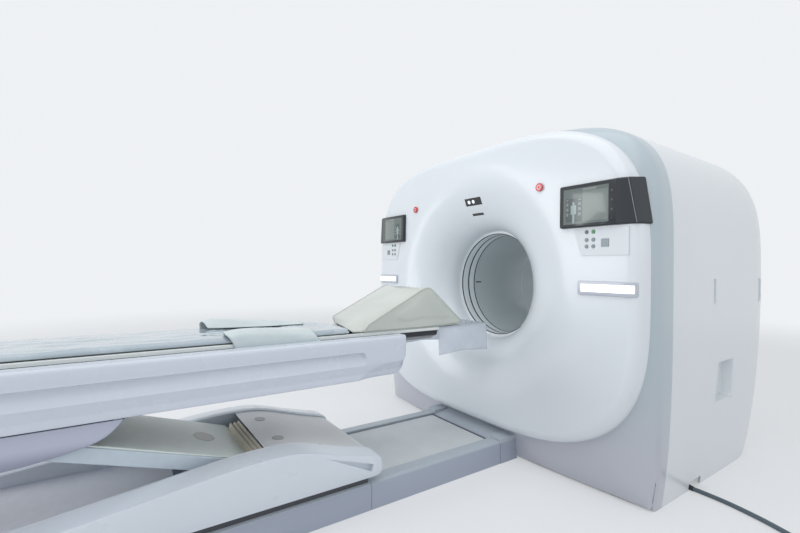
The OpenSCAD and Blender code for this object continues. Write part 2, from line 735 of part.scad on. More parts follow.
// Height of the fairing's crown at a distance s behind the nose
crown = [[0, 0.24], [60, 0.40], [200, 0.68], [400, 0.96], [560, 1], [720, 0.95], [960, 0.82], [1300, 0.62],
    [1660, 0.44], [1980, 0.32]];
function crown_z(s) = sled_bottom + (sled_top - sled_bottom) * lookup(s * 1980 / sled_l, crown);
fairing_at = [0, 25, 60, 110, 160, 220, 290, 360, 430, 500, 570, 650, 740, 850, 1000, 1200, 1450, 1700, 1980];
function fairing_section(s) =
    let (z = crown_z(s), b = sled_bottom, x = sled_w / 2 - 40 * pow(max(0, 1 - s / 160), 2), i = hood_w / 2 + seat)
    [[i, b], [x - 14, b], [x - 3, b + (z - b) * 0.16], [x, b + (z - b) * 0.42], [x - 4, b + (z - b) * 0.76],
        [x - 14, z - 5], [x - 24, z], [i + 14, z - 2], [i, z - 9]];
module fairing() {
    capped_loft([for (s = fairing_at) [for (p = fairing_section(s * sled_l / 1980)) [p[0], nose_y - s * sled_l / 1980, p[1]]]]);
}
module sled_fairings() {
    color("whitesmoke") both_sides() difference() {
        fairing();
        translate([sled_w / 2 + 8, nose_y - 200, crown_z(120) - 36]) rotate([8, 0, 12]) block([-26, 0, 0], [40, 190, 17]);
    }
}
module base_hood() {
    pts = [for (s = [2, 25, 60, 110, 160, 220, 290, 360, 430, 480, hood_back]) [nose_y - s, crown_z(s) - 3]];
    color("tan") translate([-hood_w / 2, 0, 0]) rotate([90, 0, 90]) linear_extrude(hood_w)
        polygon(concat([[nose_y - 2, sled_bottom]], pts, [[nose_y - hood_back, crown_z(hood_back) - 11]],
            [for (k = [9:-1:1]) [pts[k][0] - 3, pts[k][1] - 8]], [[nose_y - 12, sled_bottom]]));
}
ear_x = arm_w / 2 + 12;
ear_t = 22;
chassis_z = track_h + seat;
chassis_top = chassis_z + 22;
link_r = 16;
link_pin = 8;
link_w = 60;
module chassis_ear(x1, x2, y, z, r) {
    cross_bar(r, x1, x2, y, z);
    block([x1, y - r, chassis_top - 1], [x2, y + r, z]);
}
module sled_chassis() {
    color("slategray") {
        block([-track_w / 2 + 12, sled_y1 + 8, chassis_z], [track_w / 2 - 12, nose_y - 60, chassis_top]);
        both_sides() {
            block([mat_w / 2 + 3, sled_y1 + 200, pan_t + 40], [mat_w / 2 + slot_gap - 3, nose_y - 200, chassis_z + 1]);
            block([hood_w / 2 + 6, sled_y1 + 40, chassis_top - 1], [hood_w / 2 + 30, nose_y - 80, sled_bottom - seat]);
            chassis_ear(ear_x, ear_x + ear_t, pivot_y, pivot_z, 34);
            chassis_ear(link_w / 2 + 4, link_w / 2 + 16, pivot_y, pivot_z - link_drop, 14);
        }
        cross_bar(pin_r, -ear_x - 1, ear_x + 1, pivot_y, pivot_z);
        cross_bar(link_pin, -link_w / 2 - 5, link_w / 2 + 5, pivot_y, pivot_z - link_drop);
        translate([-hood_w / 2 + 4, 0, 0]) rotate([90, 0, 90]) linear_extrude(hood_w - 8)
            polygon([[sled_y1 + 8, chassis_top - 1], [sled_y1 + 20, chassis_top - 1], [sled_y1 + 20, deck_z - 8],
                [pivot_y - 420, deck_z - 8], [pivot_y - 330, chassis_top - 1], [pivot_y - 318, chassis_top - 1],
                [pivot_y - 414, deck_z], [sled_y1 + 8, deck_z]]);
    }
}
function arm_z(y) = pivot_z + (pivot_y - y) * tan(arm_rise) + arm_top / cos(arm_rise);
module pleated_cover() {
    w = arm_w - 40;
    y = nose_y - hood_back - seat;
    fold = 11;
    top = crown_z(hood_back) - 4;
    color("wheat") translate([-w / 2, 0, 0]) rotate([90, 0, 90]) linear_extrude(w)
        polygon(concat([for (k = [0:4]) each [[y - fold * k, top - 4 - 2 * k], [y - fold * (k + 0.5), top - 2 * k]]],
            [[y - 5 * fold, arm_z(y - 5 * fold) + 8], [y - 5 * fold, arm_z(y - 5 * fold) + 2], [y, arm_z(y) + 2]]));
}

// Lift arm, drawn level from the lower pivot towards -Y and then raised
arm_top = 45;
arm_low = 20;
arm_side = 22;
arm_eye = 44;
tube_r = 24;
module raised() {
    translate([0, pivot_y, pivot_z]) rotate([-arm_rise, 0, 0]) children();
}
upper_y = pivot_y - arm_l * cos(arm_rise);
upper_z = pivot_z + arm_l * sin(arm_rise);
module main_arm() {
    color("gainsboro") raised() difference() {
        union() {
            both_sides() {
                block([arm_w / 2 - arm_side, -arm_l + 20, -arm_low], [arm_w / 2, -20, arm_top - 8]);
                cross_bar(arm_eye, arm_w / 2 - arm_side, arm_w / 2, 0, 0);
                cross_bar(arm_eye, arm_w / 2 - arm_side, arm_w / 2, -arm_l, 0);
            }
            block([-arm_w / 2, -arm_l + 60, arm_top - 16], [arm_w / 2, -70, arm_top - 8]);
            cross_bar(tube_r, -arm_w / 2 + 1, arm_w / 2 - 1, 0, 0);
            both_sides() cross_bar(tube_r, link_w, arm_w / 2 - 1, -arm_l, 0);
        }
        for (y = [0, -arm_l]) cross_bar(pin_r + pin_fit, -arm_w / 2 - 1, arm_w / 2 + 1, y, 0);
    }
}
module arm_cover() {
    color("tan") raised() block([-arm_w / 2 + 2, -arm_l + 60, arm_top - 8], [arm_w / 2 - 2, -175, arm_top]);
}
module level_link() {
    color("silver") translate([0, pivot_y, pivot_z - link_drop]) rotate([-arm_rise, 0, 0]) difference() {
        union() {
            block([-link_w / 2, -arm_l, -10], [link_w / 2, 0, 10]);
            cross_bar(link_r, -link_w / 2, link_w / 2, 0, 0);
            cross_bar(link_r, -link_w / 2, link_w / 2, -arm_l, 0);
        }
        cross_bar(link_pin + pin_fit, -link_w / 2 - 1, link_w / 2 + 1, 0, 0);
        cross_bar(link_pin + seat, -link_w / 2 - 1, link_w / 2 + 1, -arm_l, 0);
    }
}

// Patient table
table_y2 = ring_y - table_front;
table_y1 = table_y2 - table_l;
half_table = table_w / 2;
side_t = 12;
plate_x = half_table - 30 - side_t - seat;
end_in = [70, 50];
frame_y1 = table_y1 + end_in[1] + seat;
frame_y2 = table_y2 - end_in[0] - side_t - seat;
runner_z = 735;
table_ear_t = 13;
module table_ear(x1, x2, y, z, r) {
    cross_bar(r, x1, x2, y, z);
    block([x1, y - r, z], [x2, y + r, table_bottom + 6]);
}
module table_frame() {
    color("slategray") {
        block([-plate_x, frame_y1, table_bottom + seat], [plate_x, frame_y2, table_bottom + 14]);
        both_sides() {
            block([130, frame_y1, table_bottom + 13], [170, frame_y2, runner_z - 14]);
            table_ear(ear_x, ear_x + table_ear_t, upper_y, upper_z, 34);
            table_ear(link_w / 2 + 4, link_w / 2 + 16, upper_y, upper_z - link_drop, 14);
        }
        for (y = [frame_y1 + 100, (frame_y1 + frame_y2) / 2, frame_y2 - 100])
            block([-140, y - 20, table_bottom + 13], [140, y + 20, table_bottom + 60]);
        cross_bar(pin_r, -ear_x - 1, ear_x + 1, upper_y, upper_z);
        cross_bar(link_pin, -link_w / 2 - 5, link_w / 2 + 5, upper_y, upper_z - link_drop);
    }
}
// Outside of the table's moulded side, from the top lip down to the underside
side_line = [[-66, 0], [-8, 0], [0, -12], [2, -36], [-3, -56], [-22, -72], [-25, -96], [-8, -124], [-2, -142],
    [-8, -166], [-18, -186], [-30, -200]];
groove_line = [[-66, 0], [-8, 0], [0, -12], [2, -36], [1, -60], [1, -80], [1, -104], [0, -124], [-2, -142],
    [-8, -166], [-18, -186], [-30, -200]];
inner_line = [[-78, -12], [-40, -12], [-40, -18], [-38, -56], [-38, -72], [-38, -84], [-38, -96], [-38, -124],
    [-38, -142], [-40, -166], [-42, -186], [-42, -200]];
function section(line, drop, x_in) = [for (p = line)
    [half_table + p[0] - x_in, table_top + p[1] * (table_top - table_bottom - drop) / 200]];
function inner_section(drop) = let (l = section(inner_line, drop, 0)) [for (k = [len(l) - 1:-1:0]) l[k]];
end_line = [for (p = inner_section(0)) if (p[1] < runner_z - 20) [p[0] + 3, p[1]]];
module side_wall() {
    st = [[0, 34, 10], [10, 18, 5], [28, 6, 2], [60, 0, 0], [150, 0, 0], [230, 0, 0]];
    capped_loft(concat(
        [for (s = st) [for (p = concat(section(s[0] < 200 ? groove_line : side_line, s[1], s[2]), inner_section(s[1])))
            [p[0], table_y2 - s[0], p[1]]]],
        [[for (p = concat(section(side_line, 0, 0), inner_section(0))) [p[0], table_y1, p[1]]]]));
}
module table_cover() {
    color("white") {
        both_sides() side_wall();
        for (y = [table_y2 - end_in[0], table_y1 + end_in[1]]) translate([0, y, 0]) rotate([90, 0, 0]) linear_extrude(side_t)
            polygon(concat(end_line, [for (k = [len(end_line) - 1:-1:0]) [-end_line[k][0], end_line[k][1]]]));
    }
}
// Boat-shaped lower cover round the upper pivot
pod_w = 2 * (half_table - 32);
pod_t = 6;
pod_tip = upper_y + 345;
pod_rear = upper_y - 700;
module under_pod() {
    top = table_bottom - seat;
    side = [[pod_tip, top], [pod_tip - 20, top - 34], [pod_tip - 78, top - 78], [pod_tip - 200, top - 110],
        [pod_tip - 330, top - 128], [pod_tip - 500, top - 134], [pod_rear + 160, top - 134],
        [pod_rear + 60, top - 112], [pod_rear + 10, top - 60], [pod_rear, top]];
    color("whitesmoke") {
        both_sides() translate([pod_w / 2 - pod_t, 0, 0]) rotate([90, 0, 90]) linear_extrude(pod_t) polygon(side);
        translate([-pod_w / 2 + pod_t, 0, 0]) rotate([90, 0, 90]) linear_extrude(pod_w - 2 * pod_t)
            polygon([[upper_y - 120, top - 134], [pod_rear + 160, top - 134], [pod_rear + 60, top - 112],
                [pod_rear + 10, top - 60], [pod_rear, top], [pod_rear + pod_t, top], [pod_rear + 18, top - 56],
                [pod_rear + 65, top - 105], [pod_rear + 162, top - 126], [upper_y - 120, top - 126]]);
    }
}

// Cradle and what lies on it
cradle_y2 = ring_y - cradle_front;
cradle_y1 = cradle_y2 - cradle_l;
half_cradle = cradle_w / 2;
reach_l = 1120;
module cradle() {
    e = half_cradle;
    t = cradle_top;
    color("white") translate([0, cradle_y2, 0]) rotate([90, 0, 0]) linear_extrude(cradle_l)
        polygon([[-e, t], [-e, t - 18], [-e + 14, t - 24], [-e + 20, t - 46], [-e + 80, t - 74],
            [e - 80, t - 74], [e - 20, t - 46], [e - 14, t - 24], [e, t - 18], [e, t],
            [e - 14, t], [e - 60, t - 14], [0, t - 22], [-e + 60, t - 14], [-e + 14, t]]);
    color("dimgray") both_sides()
        block([130, cradle_y1 + 20, runner_z - 14 + seat], [170, cradle_y2 - reach_l, cradle_top - 72]);
}
module cradle_tongue() {
    x = half_cradle - 62;
    color("gainsboro") {
        block([-x, cradle_y2 - 80, cradle_top - 13.5], [x, cradle_y2 + 20, cradle_top - 4]);
        block([-half_cradle + 18, cradle_y2 + 2, cradle_top - 13.5], [half_cradle - 18, cradle_y2 + tongue_l, cradle_top - 4]);
    }
}
pad_w = cradle_w - 32;
wedge_y = [cradle_y2 - 550, cradle_y2 - 120, cradle_y2 + 140];
wedge_w = cradle_w + 2;
wedge_top = cradle_top + 228;
pad_top = cradle_top + 26;
module mattress() {
    color("lightblue") translate([0, wedge_y[0] - 10, 0]) rotate([90, 0, 0]) linear_extrude(cradle_l - 620)
        polygon([[-pad_w / 2, cradle_top + seat], [-pad_w / 2 + 8, pad_top], [pad_w / 2 - 8, pad_top],
            [pad_w / 2, cradle_top + seat], [half_cradle - 60, cradle_top - 14 + seat], [0, cradle_top - 22 + seat],
            [-half_cradle + 60, cradle_top - 14 + seat]]);
}
module wedge_cushion() {
    z = cradle_top + seat;
    color("honeydew") translate([-wedge_w / 2, 0, 0]) rotate([90, 0, 90]) linear_extrude(wedge_w)
        polygon([[wedge_y[0] + 30, z], [wedge_y[2], z], [wedge_y[2] + 4, z + 28], [wedge_y[1] + 40, wedge_top - 14],
            [wedge_y[1], wedge_top], [wedge_y[1] - 40, wedge_top - 12], [wedge_y[0], z + 36]]);
}
strap_gap = 130;
strap_l = 430;
strap_y = [wedge_y[0] - strap_gap - strap_l, wedge_y[0] - strap_gap];
strap_t = 22;
module body_straps() {
    color("lightgray") block([-half_cradle, strap_y[0], pad_top + seat], [half_cradle, strap_y[1], pad_top + strap_t]);
}
module clear_sheet() {
    x = half_cradle - 10;
    t = 3;
    top = cradle_top - 4 + seat;
    low = cradle_top - 166;
    color("aliceblue") translate([0, cradle_y2 + tongue_l + 8, 0]) rotate([90, 0, 0]) linear_extrude(tongue_l + 4)
        polygon([[-x, low], [-x, top + t], [x, top + t], [x, low], [x - t, low], [x - t, top], [-x + t, top], [-x + t, low]]);
}

gantry_frame();
front_cover();
bezel_band();
right_shell();
left_shell();
rear_cover();
bore_liner();
bore_rings();
bore_seals();
sensor_windows();
displays();
control_panels();
light_bars();
main_bearing();
rear_detector_ring();
drive_motor();
drive_belt();
motor_pulley();
rotor_drum();
xray_tube();
generator_tank();
detector_arc();
stop_button();  // right_stop
mirror([1, 0, 0]) stop_button();  // left_stop
for (k = [1:7]) {
    panel_button(k);
    mirror([1, 0, 0]) panel_button(k);
}
power_cable();
cable_coil();
cable_plug();
floor_track();
ribbed_mat();
sled_chassis();
sled_fairings();
base_hood();
pleated_cover();
main_arm();
arm_cover();
level_link();
table_frame();
table_cover();
under_pod();
cradle();
cradle_tongue();
mattress();
wedge_cushion();
body_straps();
clear_sheet();
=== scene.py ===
# %% [markdown]
# # A medical scanner with its patient table
# The part has a tall gantry with a round bore, two displays with button panels, and a
# patient table on a lifting base that runs along a floor track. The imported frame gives
# every solid in metres, so each new piece is drawn straight at its real place: +Y runs
# along the bore to the rear, +Z is up and the floor is at z = 0.

# %%
import json
import math

import bmesh
import bpy
from mathutils import Matrix, Vector, noise


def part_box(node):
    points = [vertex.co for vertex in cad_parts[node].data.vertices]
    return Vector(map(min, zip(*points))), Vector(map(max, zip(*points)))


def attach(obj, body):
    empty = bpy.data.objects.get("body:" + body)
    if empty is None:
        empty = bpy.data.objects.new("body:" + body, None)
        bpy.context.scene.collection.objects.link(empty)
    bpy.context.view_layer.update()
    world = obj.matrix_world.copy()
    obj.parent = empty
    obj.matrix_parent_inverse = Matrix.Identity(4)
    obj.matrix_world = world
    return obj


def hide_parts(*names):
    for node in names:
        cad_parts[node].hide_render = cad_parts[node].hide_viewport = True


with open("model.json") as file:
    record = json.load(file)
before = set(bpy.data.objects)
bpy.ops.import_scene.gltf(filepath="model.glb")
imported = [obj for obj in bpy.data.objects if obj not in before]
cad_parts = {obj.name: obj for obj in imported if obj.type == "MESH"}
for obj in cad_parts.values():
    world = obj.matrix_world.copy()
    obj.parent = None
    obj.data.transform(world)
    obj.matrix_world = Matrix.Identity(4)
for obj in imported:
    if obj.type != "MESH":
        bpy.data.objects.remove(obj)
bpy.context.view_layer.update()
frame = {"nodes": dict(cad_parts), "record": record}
NODES = frame["nodes"]
BODY_OF = {n: b for b, ns in frame["record"]["behaviour"]["bodies"].items() for n in ns}
SLOT_OF = {p["node"]: p["material_slot"] for p in frame["record"]["subparts"]}
SIDES = ((1, "right"), (-1, "left"))
QUARTER = math.pi / 2


def add(name, data):
    """A new object in the scene."""
    made = bpy.data.objects.new(name, data)
    bpy.context.scene.collection.objects.link(made)
    return made


def final_mesh(obj):
    """The mesh of an object with its modifiers or its bevel applied."""
    bpy.context.view_layer.update()
    return bpy.data.meshes.new_from_object(obj.evaluated_get(bpy.context.evaluated_depsgraph_get()))


def circle(steps):
    return [2 * math.pi * k / steps for k in range(steps)]


def ease(t):
    """Runs from 0 to 1 with a soft start and a soft end."""
    t = min(1, max(0, t))
    return t * t * (3 - 2 * t)


# %% [markdown]
# ## The camera
# The photograph looks at the front of the gantry from the right, from about standing
# eye height. The place and the tilt of the camera were solved from points on the bore
# rings and the floor track. The picture is 800 pixels wide and the focal length is
# 423.6 of these pixels, which is a 19 mm lens on a 36 mm sensor.

# %%
EYE = Vector((2.0852, -2.7599, 1.1472))
AZIMUTH, PITCH, ROLL = 55.5760098, 0.363580746, 0.753084974
FOCAL_PX, PICTURE_PX, SENSOR = 423.600822, 800, 36


def camera_axes():
    a, p, r = (math.radians(v) for v in (AZIMUTH, PITCH, ROLL))
    look = Vector((-math.sin(a) * math.cos(p), math.cos(a) * math.cos(p), math.sin(p)))
    side = look.cross(Vector((0, 0, 1))).normalized()
    up = side.cross(look)
    return side * math.cos(r) + up * math.sin(r), up * math.cos(r) - side * math.sin(r), -look


camera = add("camera", bpy.data.cameras.new("camera"))
camera.data.sensor_width = SENSOR
camera.data.lens = FOCAL_PX / PICTURE_PX * SENSOR
camera.data.clip_start = 0.05
camera.matrix_world = Matrix.Translation(EYE) @ Matrix(camera_axes()).transposed().to_4x4()
bpy.context.scene.camera = camera

# %% [markdown]
# ## The power cable
# One grey cable leaves the notch at the foot of the right cover and runs over the floor.
# The spare length lies in a coil outside the picture and ends in its plug. A tube could
# be lofted ring by ring, but a curve with a round bevel is chosen, because its line is
# also its measured length.

# %%
CABLE_R = 0.011
CABLE_D = 2 * CABLE_R
CABLE_ROUTE = [(1.085, -0.210), (1.110, -0.210), (1.150, -0.210), (1.195, -0.212), (1.240, -0.216),
               (1.285, -0.222), (1.330, -0.232), (1.375, -0.243), (1.420, -0.256), (1.460, -0.270),
               (1.500, -0.286), (1.545, -0.305), (1.595, -0.327), (1.640, -0.347), (1.680, -0.363)]
COIL_X, COIL_Y, COIL_R, TURN_STEPS, RISE_STEPS = 1.720, -0.520, 0.125, 24, 8


def coil_points():
    """Three turns on the floor from the outside in, one on top of them, then up into the plug."""
    line = []
    turns = [(CABLE_D, 0.0, 0, 0), (0.0, -CABLE_D, 0, 0), (-CABLE_D, 0.0, 0, 1), (0.0, CABLE_D, 1, 1)]
    for start, end, layer, next_layer in turns:
        for f in [s / TURN_STEPS for s in range(TURN_STEPS)]:
            ring = COIL_R + start + (end - start) * ease(4 * f - 3)
            z = CABLE_R + CABLE_D * (layer + (next_layer - layer) * ease(4 * f - 2))
            line.append((QUARTER - 2 * math.pi * f, ring, z))
    for f in [s / RISE_STEPS for s in range(RISE_STEPS + 1)]:
        height = 3 * CABLE_R + 0.035 * ease(2 * f)
        line.append((QUARTER * (1 - f), COIL_R + CABLE_D * (1 - ease(f)), height))
    return [(COIL_X + ring * math.cos(a), COIL_Y + ring * math.sin(a), z) for a, ring, z in line]


lead_line = [(x, y, CABLE_R) for x, y in CABLE_ROUTE] + coil_points()
curve = bpy.data.curves.new("power_lead", "CURVE")
curve.dimensions = "3D"
curve.bevel_depth = CABLE_R
curve.bevel_resolution = 5
curve.use_fill_caps = True
spline = curve.splines.new("POLY")
spline.points.add(len(lead_line) - 1)
for point, place in zip(spline.points, lead_line):
    point.co = (*place, 1)
spline.use_smooth = True
cable_line = add("cable_line", curve)
power_lead = add("power_lead", final_mesh(cable_line))
bpy.data.objects.remove(cable_line)
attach(power_lead, "gantry")
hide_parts("power_cable", "cable_coil")
lead_length = sum((Vector(b) - Vector(a)).length for a, b in zip(lead_line, lead_line[1:]))
print("cable length", round(lead_length, 3))

# %% [markdown]
# ## Meshes from lofts
# Nearly every cover here is a moulding whose outline changes along its length. It could
# be carved from a box with modifiers, or drawn as a patch surface. A loft is chosen: one
# flat grid is made, and each of its points is moved to its place on the form. The sides
# of the grid that meet are merged, so a closed form has no open seam.
#
# A piece takes its body, its slot and its finish from the CAD node that it belongs to.
# The finish has the slot's name, unless the piece asks for another.

# %%
SHARP = math.radians(32)
SOFT = math.radians(80)
LOOKS = {}


def finish_mesh(name, bm, node=None, look=None, stands=False, recalc=True, sharp=SHARP):
    """Turns a bmesh into a piece of a node. With stands, it takes the place of the node's solid."""
    if recalc:
        bmesh.ops.recalc_face_normals(bm, faces=bm.faces)
    shade(bm, sharp)
    mesh = bpy.data.meshes.new(name)
    bm.to_mesh(mesh)
    bm.free()
    piece = add(name, mesh)
    if node:
        mesh.materials.append(LOOKS[look or SLOT_OF[node]])
        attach(piece, BODY_OF[node])
    if stands:
        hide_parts(node)
    return piece


def shade(bm, sharp):
    """Shades the faces smooth, with a sharp edge where two faces meet at a large angle."""
    for f in bm.faces:
        f.smooth = True
    for e in bm.edges:
        e.smooth = not (len(e.link_faces) == 2 and e.calc_face_angle(0) > sharp)


def fill_holes(bm):
    bmesh.ops.holes_fill(bm, edges=[e for e in bm.edges if e.is_boundary], sides=0)


def loft(loops, around=True, along=False, caps=True):
    """A grid whose columns are the points of a loop and whose rows are the loops."""
    nu, nv = len(loops[0]), len(loops)
    bm = bmesh.new()
    cols, rows = nu - (not around), nv - (not along)
    bmesh.ops.create_grid(bm, x_segments=cols, y_segments=rows, size=0.5)
    for v in bm.verts:
        i, j = round((v.co.x + 0.5) * cols), round((v.co.y + 0.5) * rows)
        v.co = Vector(loops[j % nv][i % nu])
    bmesh.ops.remove_doubles(bm, verts=bm.verts, dist=1e-6)
    if caps:
        fill_holes(bm)
    return bm


def lofted(name, loops, node=None, look=None, around=True, along=False, caps=True, **rest):
    """A piece that is one loft: closed round its loops, and with caps on its two ends."""
    return finish_mesh(name, loft(loops, around, along, caps), node, look, **rest)


def ring_loft(name, loops, node=None, look=None, **rest):
    """A loft whose last loop joins its first, such as a wall with its two faces."""
    return lofted(name, loops, node, look, along=True, caps=False, **rest)


def across(name, outline, xs, node=None, look=None, **rest):
    """An outline of (y, z) points that is stretched over places along x."""
    return lofted(name, [[(x, y, z) for y, z in outline] for x in xs], node, look, **rest)


def spread(low, high, steps):
    """Even places from low to high."""
    return [low + (high - low) * k / steps for k in range(steps + 1)]


def smooth_line(points, per=6):
    """A smooth line through points, drawn with per steps between each two."""
    pts = [Vector(p) for p in points]
    last = len(pts) - 1
    out = []
    for k in range(last):
        a, b, c, d = (pts[min(max(i, 0), last)] for i in range(k - 1, k + 3))
        for t in [s / per for s in range(per)]:
            out.append(0.5 * (2 * b + (c - a) * t + (2 * a - 5 * b + 4 * c - d) * t * t
                              + (3 * b - a - 3 * c + d) * t * t * t))
    return out + [pts[-1]]


def smooth_pairs(pairs, per):
    """The same for pairs of numbers."""
    return [tuple(p)[:2] for p in smooth_line([(*pair, 0) for pair in pairs], per)]


def rounded_outline(corners, radius, steps=5):
    """Corners as (u, v) pairs, each cut back by the radius and rounded."""
    out = []
    for k in range(len(corners)):
        p, c, q = (Vector(corners[i % len(corners)]) for i in (k - 1, k, k + 1))
        a, b = c + (p - c).normalized() * radius, c + (q - c).normalized() * radius
        out += [a * (1 - t) ** 2 + c * 2 * t * (1 - t) + b * t * t for t in spread(0, 1, steps)]
    return out


def grown(outline, by):
    """An outline of 2-D vectors whose points lie further from its middle."""
    middle = sum(outline, Vector((0, 0))) / len(outline)
    return [p + (p - middle).normalized() * by for p in outline]


# %% [markdown]
# A solid that has the right shape already is only copied: its loose triangles are merged
# and a Bevel modifier rounds its edges. Small parts are boxes between two corners, or
# booleans that take boxes and cylinders out of a cover.

# %%
def soften_edges(piece, width, segments=2):
    bevel = piece.modifiers.new("soft edges", "BEVEL")
    bevel.width = width
    bevel.segments = segments
    bevel.limit_method = "ANGLE"
    bevel.angle_limit = math.radians(30)
    bevel.harden_normals = True
    return piece


def softened(node, width, segments=2):
    """A copy of a node's solid with its loose triangles merged and its edges rounded."""
    bm = bmesh.new()
    bm.from_mesh(NODES[node].data)
    bmesh.ops.remove_doubles(bm, verts=bm.verts, dist=2e-5)
    bmesh.ops.dissolve_limit(bm, angle_limit=math.radians(0.5), verts=bm.verts, edges=bm.edges)
    piece = finish_mesh(node + "_piece", bm, node, stands=True, recalc=False)
    return soften_edges(piece, width, segments)


def block(name, low, high, node=None, look=None):
    """A box between two corners, given in either order."""
    ends = [sorted(pair) for pair in zip(low, high)]
    bm = bmesh.new()
    bmesh.ops.create_cube(bm, size=1)
    for v in bm.verts:
        v.co = Vector(ends[k][v.co[k] > 0] for k in range(3))
    return finish_mesh(name, bm, node, look)


def turned_block(radius, depth, segments, scale=(1, 1, 1), matrix=Matrix()):
    """A cylinder round z, which is scaled and then put in its place."""
    bm = bmesh.new()
    bmesh.ops.create_cone(bm, cap_ends=True, segments=segments, radius1=radius, radius2=radius,
                          depth=depth)
    bmesh.ops.transform(bm, verts=bm.verts, matrix=matrix @ Matrix.Diagonal((*scale, 1)))
    return bm


def placed(piece, matrix):
    piece.data.transform(matrix)
    return piece


def cut(piece, *cutters, crossing=False):
    """Takes the cutters out of a piece and marks its sharp edges again."""
    for cutter in cutters:
        hole = piece.modifiers.new("cut", "BOOLEAN")
        hole.operation, hole.solver, hole.object = "DIFFERENCE", "EXACT", cutter
        hole.use_self = crossing
    mesh = final_mesh(piece)
    piece.modifiers.clear()
    bm = bmesh.new()
    bm.from_mesh(mesh)
    bmesh.ops.remove_doubles(bm, verts=bm.verts, dist=1e-5)
    shade(bm, SHARP)
    bm.to_mesh(mesh)
    bm.free()
    piece.data = mesh
    for cutter in cutters:
        bpy.data.objects.remove(cutter)


# %% [markdown]
# ## Words for materials
# A material is a small sum: noise makes a mask, the mask mixes two colours and drives
# the roughness and the bump. The sums are written as Python expressions. The class below
# wraps a socket, and each operator adds one Math node to the tree.

# %%
def operator(operation, swapped=False):
    """A method that adds a Math node on a socket and another value, in either order."""
    def apply(socket, other):
        pair = (other, socket) if swapped else (socket, other)
        return node(socket.tree, "ShaderNodeMath", {"operation": operation}, *pair)
    return apply


class Socket:
    def __init__(self, tree, link):
        self.tree, self.link = tree, link

    __add__, __radd__ = operator("ADD"), operator("ADD", True)
    __sub__, __rsub__ = operator("SUBTRACT"), operator("SUBTRACT", True)
    __mul__, __rmul__ = operator("MULTIPLY"), operator("MULTIPLY", True)
    __gt__, __lt__ = operator("GREATER_THAN"), operator("LESS_THAN")

    def math(self, operation, *others, clamp=False):
        settings = {"operation": operation, "use_clamp": clamp}
        return node(self.tree, "ShaderNodeMath", settings, self, *others)

    def ramp(self, low, high, to_low=0.0, to_high=1.0):
        """The value's range from low to high, spread smoothly over another range."""
        return node(self.tree, "ShaderNodeMapRange", {"interpolation_type": "SMOOTHSTEP"},
                    self, low, high, to_low, to_high)


def node(tree, kind, settings, *values, out=0, at=None, **named):
    """One node: its settings come first, then the values or links of its sockets."""
    made = tree.nodes.new(kind)
    for key, value in settings.items():
        setattr(made, key, value)
    for key, value in list(enumerate(values)) + list((at or {}).items()) + list(named.items()):
        socket = made.inputs[key]
        if isinstance(value, Socket):
            tree.links.new(value.link, socket)
        else:
            socket.default_value = value
    return Socket(tree, made.outputs[out])


def rgba(colour):
    return colour if isinstance(colour, Socket) else (*colour, 1)


def shaded(colour, share):
    return tuple(c * share for c in colour)


class Finish:
    """A material with object coordinates at hand and its shader's sockets by name."""

    def __init__(self, name, **sockets):
        self.material = LOOKS[name] = bpy.data.materials.new(name)
        self.material.use_nodes = True
        self.tree = self.material.node_tree
        self.shader = self.tree.nodes["Principled BSDF"]
        self.place = self.node("ShaderNodeTexCoord", {}, out="Object")
        self.set(**sockets)

    def node(self, kind, settings, *values, out=0, at=None, **named):
        return node(self.tree, kind, settings, *values, out=out, at=at, **named)

    def set(self, **sockets):
        for key, value in sockets.items():
            socket = self.shader.inputs[key.replace("_", " ")]
            if isinstance(value, Socket):
                self.tree.links.new(value.link, socket)
            else:
                socket.default_value = rgba(value) if isinstance(value, tuple) else value

    def noise(self, scale, detail=2.0, where=None):
        return self.node("ShaderNodeTexNoise", {}, Vector=where or self.place, Scale=scale,
                         Detail=detail)

    def axis(self, name):
        return self.node("ShaderNodeSeparateXYZ", {}, self.place, out=name)

    def stretched(self, x, y, z):
        return self.node("ShaderNodeMapping", {}, Vector=self.place, Scale=(x, y, z))

    def mix(self, mask, low, high):
        """A colour between two others: a Mix node keeps its colours in sockets 6 and 7."""
        colours = {0: mask, 6: rgba(low), 7: rgba(high)}
        return self.node("ShaderNodeMix", {"data_type": "RGBA"}, out=2, at=colours)

    def painted_light_below(self, tint, foot):
        """Another colour below a height, for painted light and painted shade. A foot is two heights and
        that colour, or None.
        """
        if not foot:
            return tint
        return self.mix(self.axis("Z").ramp(foot[0], foot[1], 1, 0), tint, foot[2])

    def bump(self, height, distance, strength=1.0, **under):
        return self.node("ShaderNodeBump", {}, Strength=strength, Distance=distance, Height=height,
                         **under)


# %% [markdown]
# ## Finishes
# The covers are painted mouldings: one soft colour, a satin sheen and a very fine orange
# peel. A flat colour would look like paper, so two noises at different scales shift the
# colour and the roughness slightly, and a third gives the peel its bump.

# %%
# A foot is painted light or painted shade: another colour below a height.
def moulding(name, colour, rough=0.3, peel=0.00004, coat=0.25, drift=0.03, foot=None):
    f = Finish(name, Coat_Weight=coat, Coat_Roughness=0.12, Specular_IOR_Level=0.5)
    cloudy = f.noise(1.3, 3).ramp(0.15, 0.85)
    tint = f.painted_light_below(f.mix(cloudy, colour, shaded(colour, 1 - drift)), foot)
    f.set(Base_Color=tint, Roughness=rough - 0.02 + 0.04 * f.noise(9, 4),
          Normal=f.bump(f.noise(420, 2), peel))


def painted_metal(name, colour, rough=0.42, foot=None):
    f = Finish(name)
    tint = f.painted_light_below(f.mix(f.noise(34, 5).ramp(0.3, 0.7), colour, shaded(colour, 0.96)), foot)
    f.set(Base_Color=tint, Roughness=rough + 0.06 * f.noise(14, 3),
          Normal=f.bump(f.noise(700, 3), 0.00006))


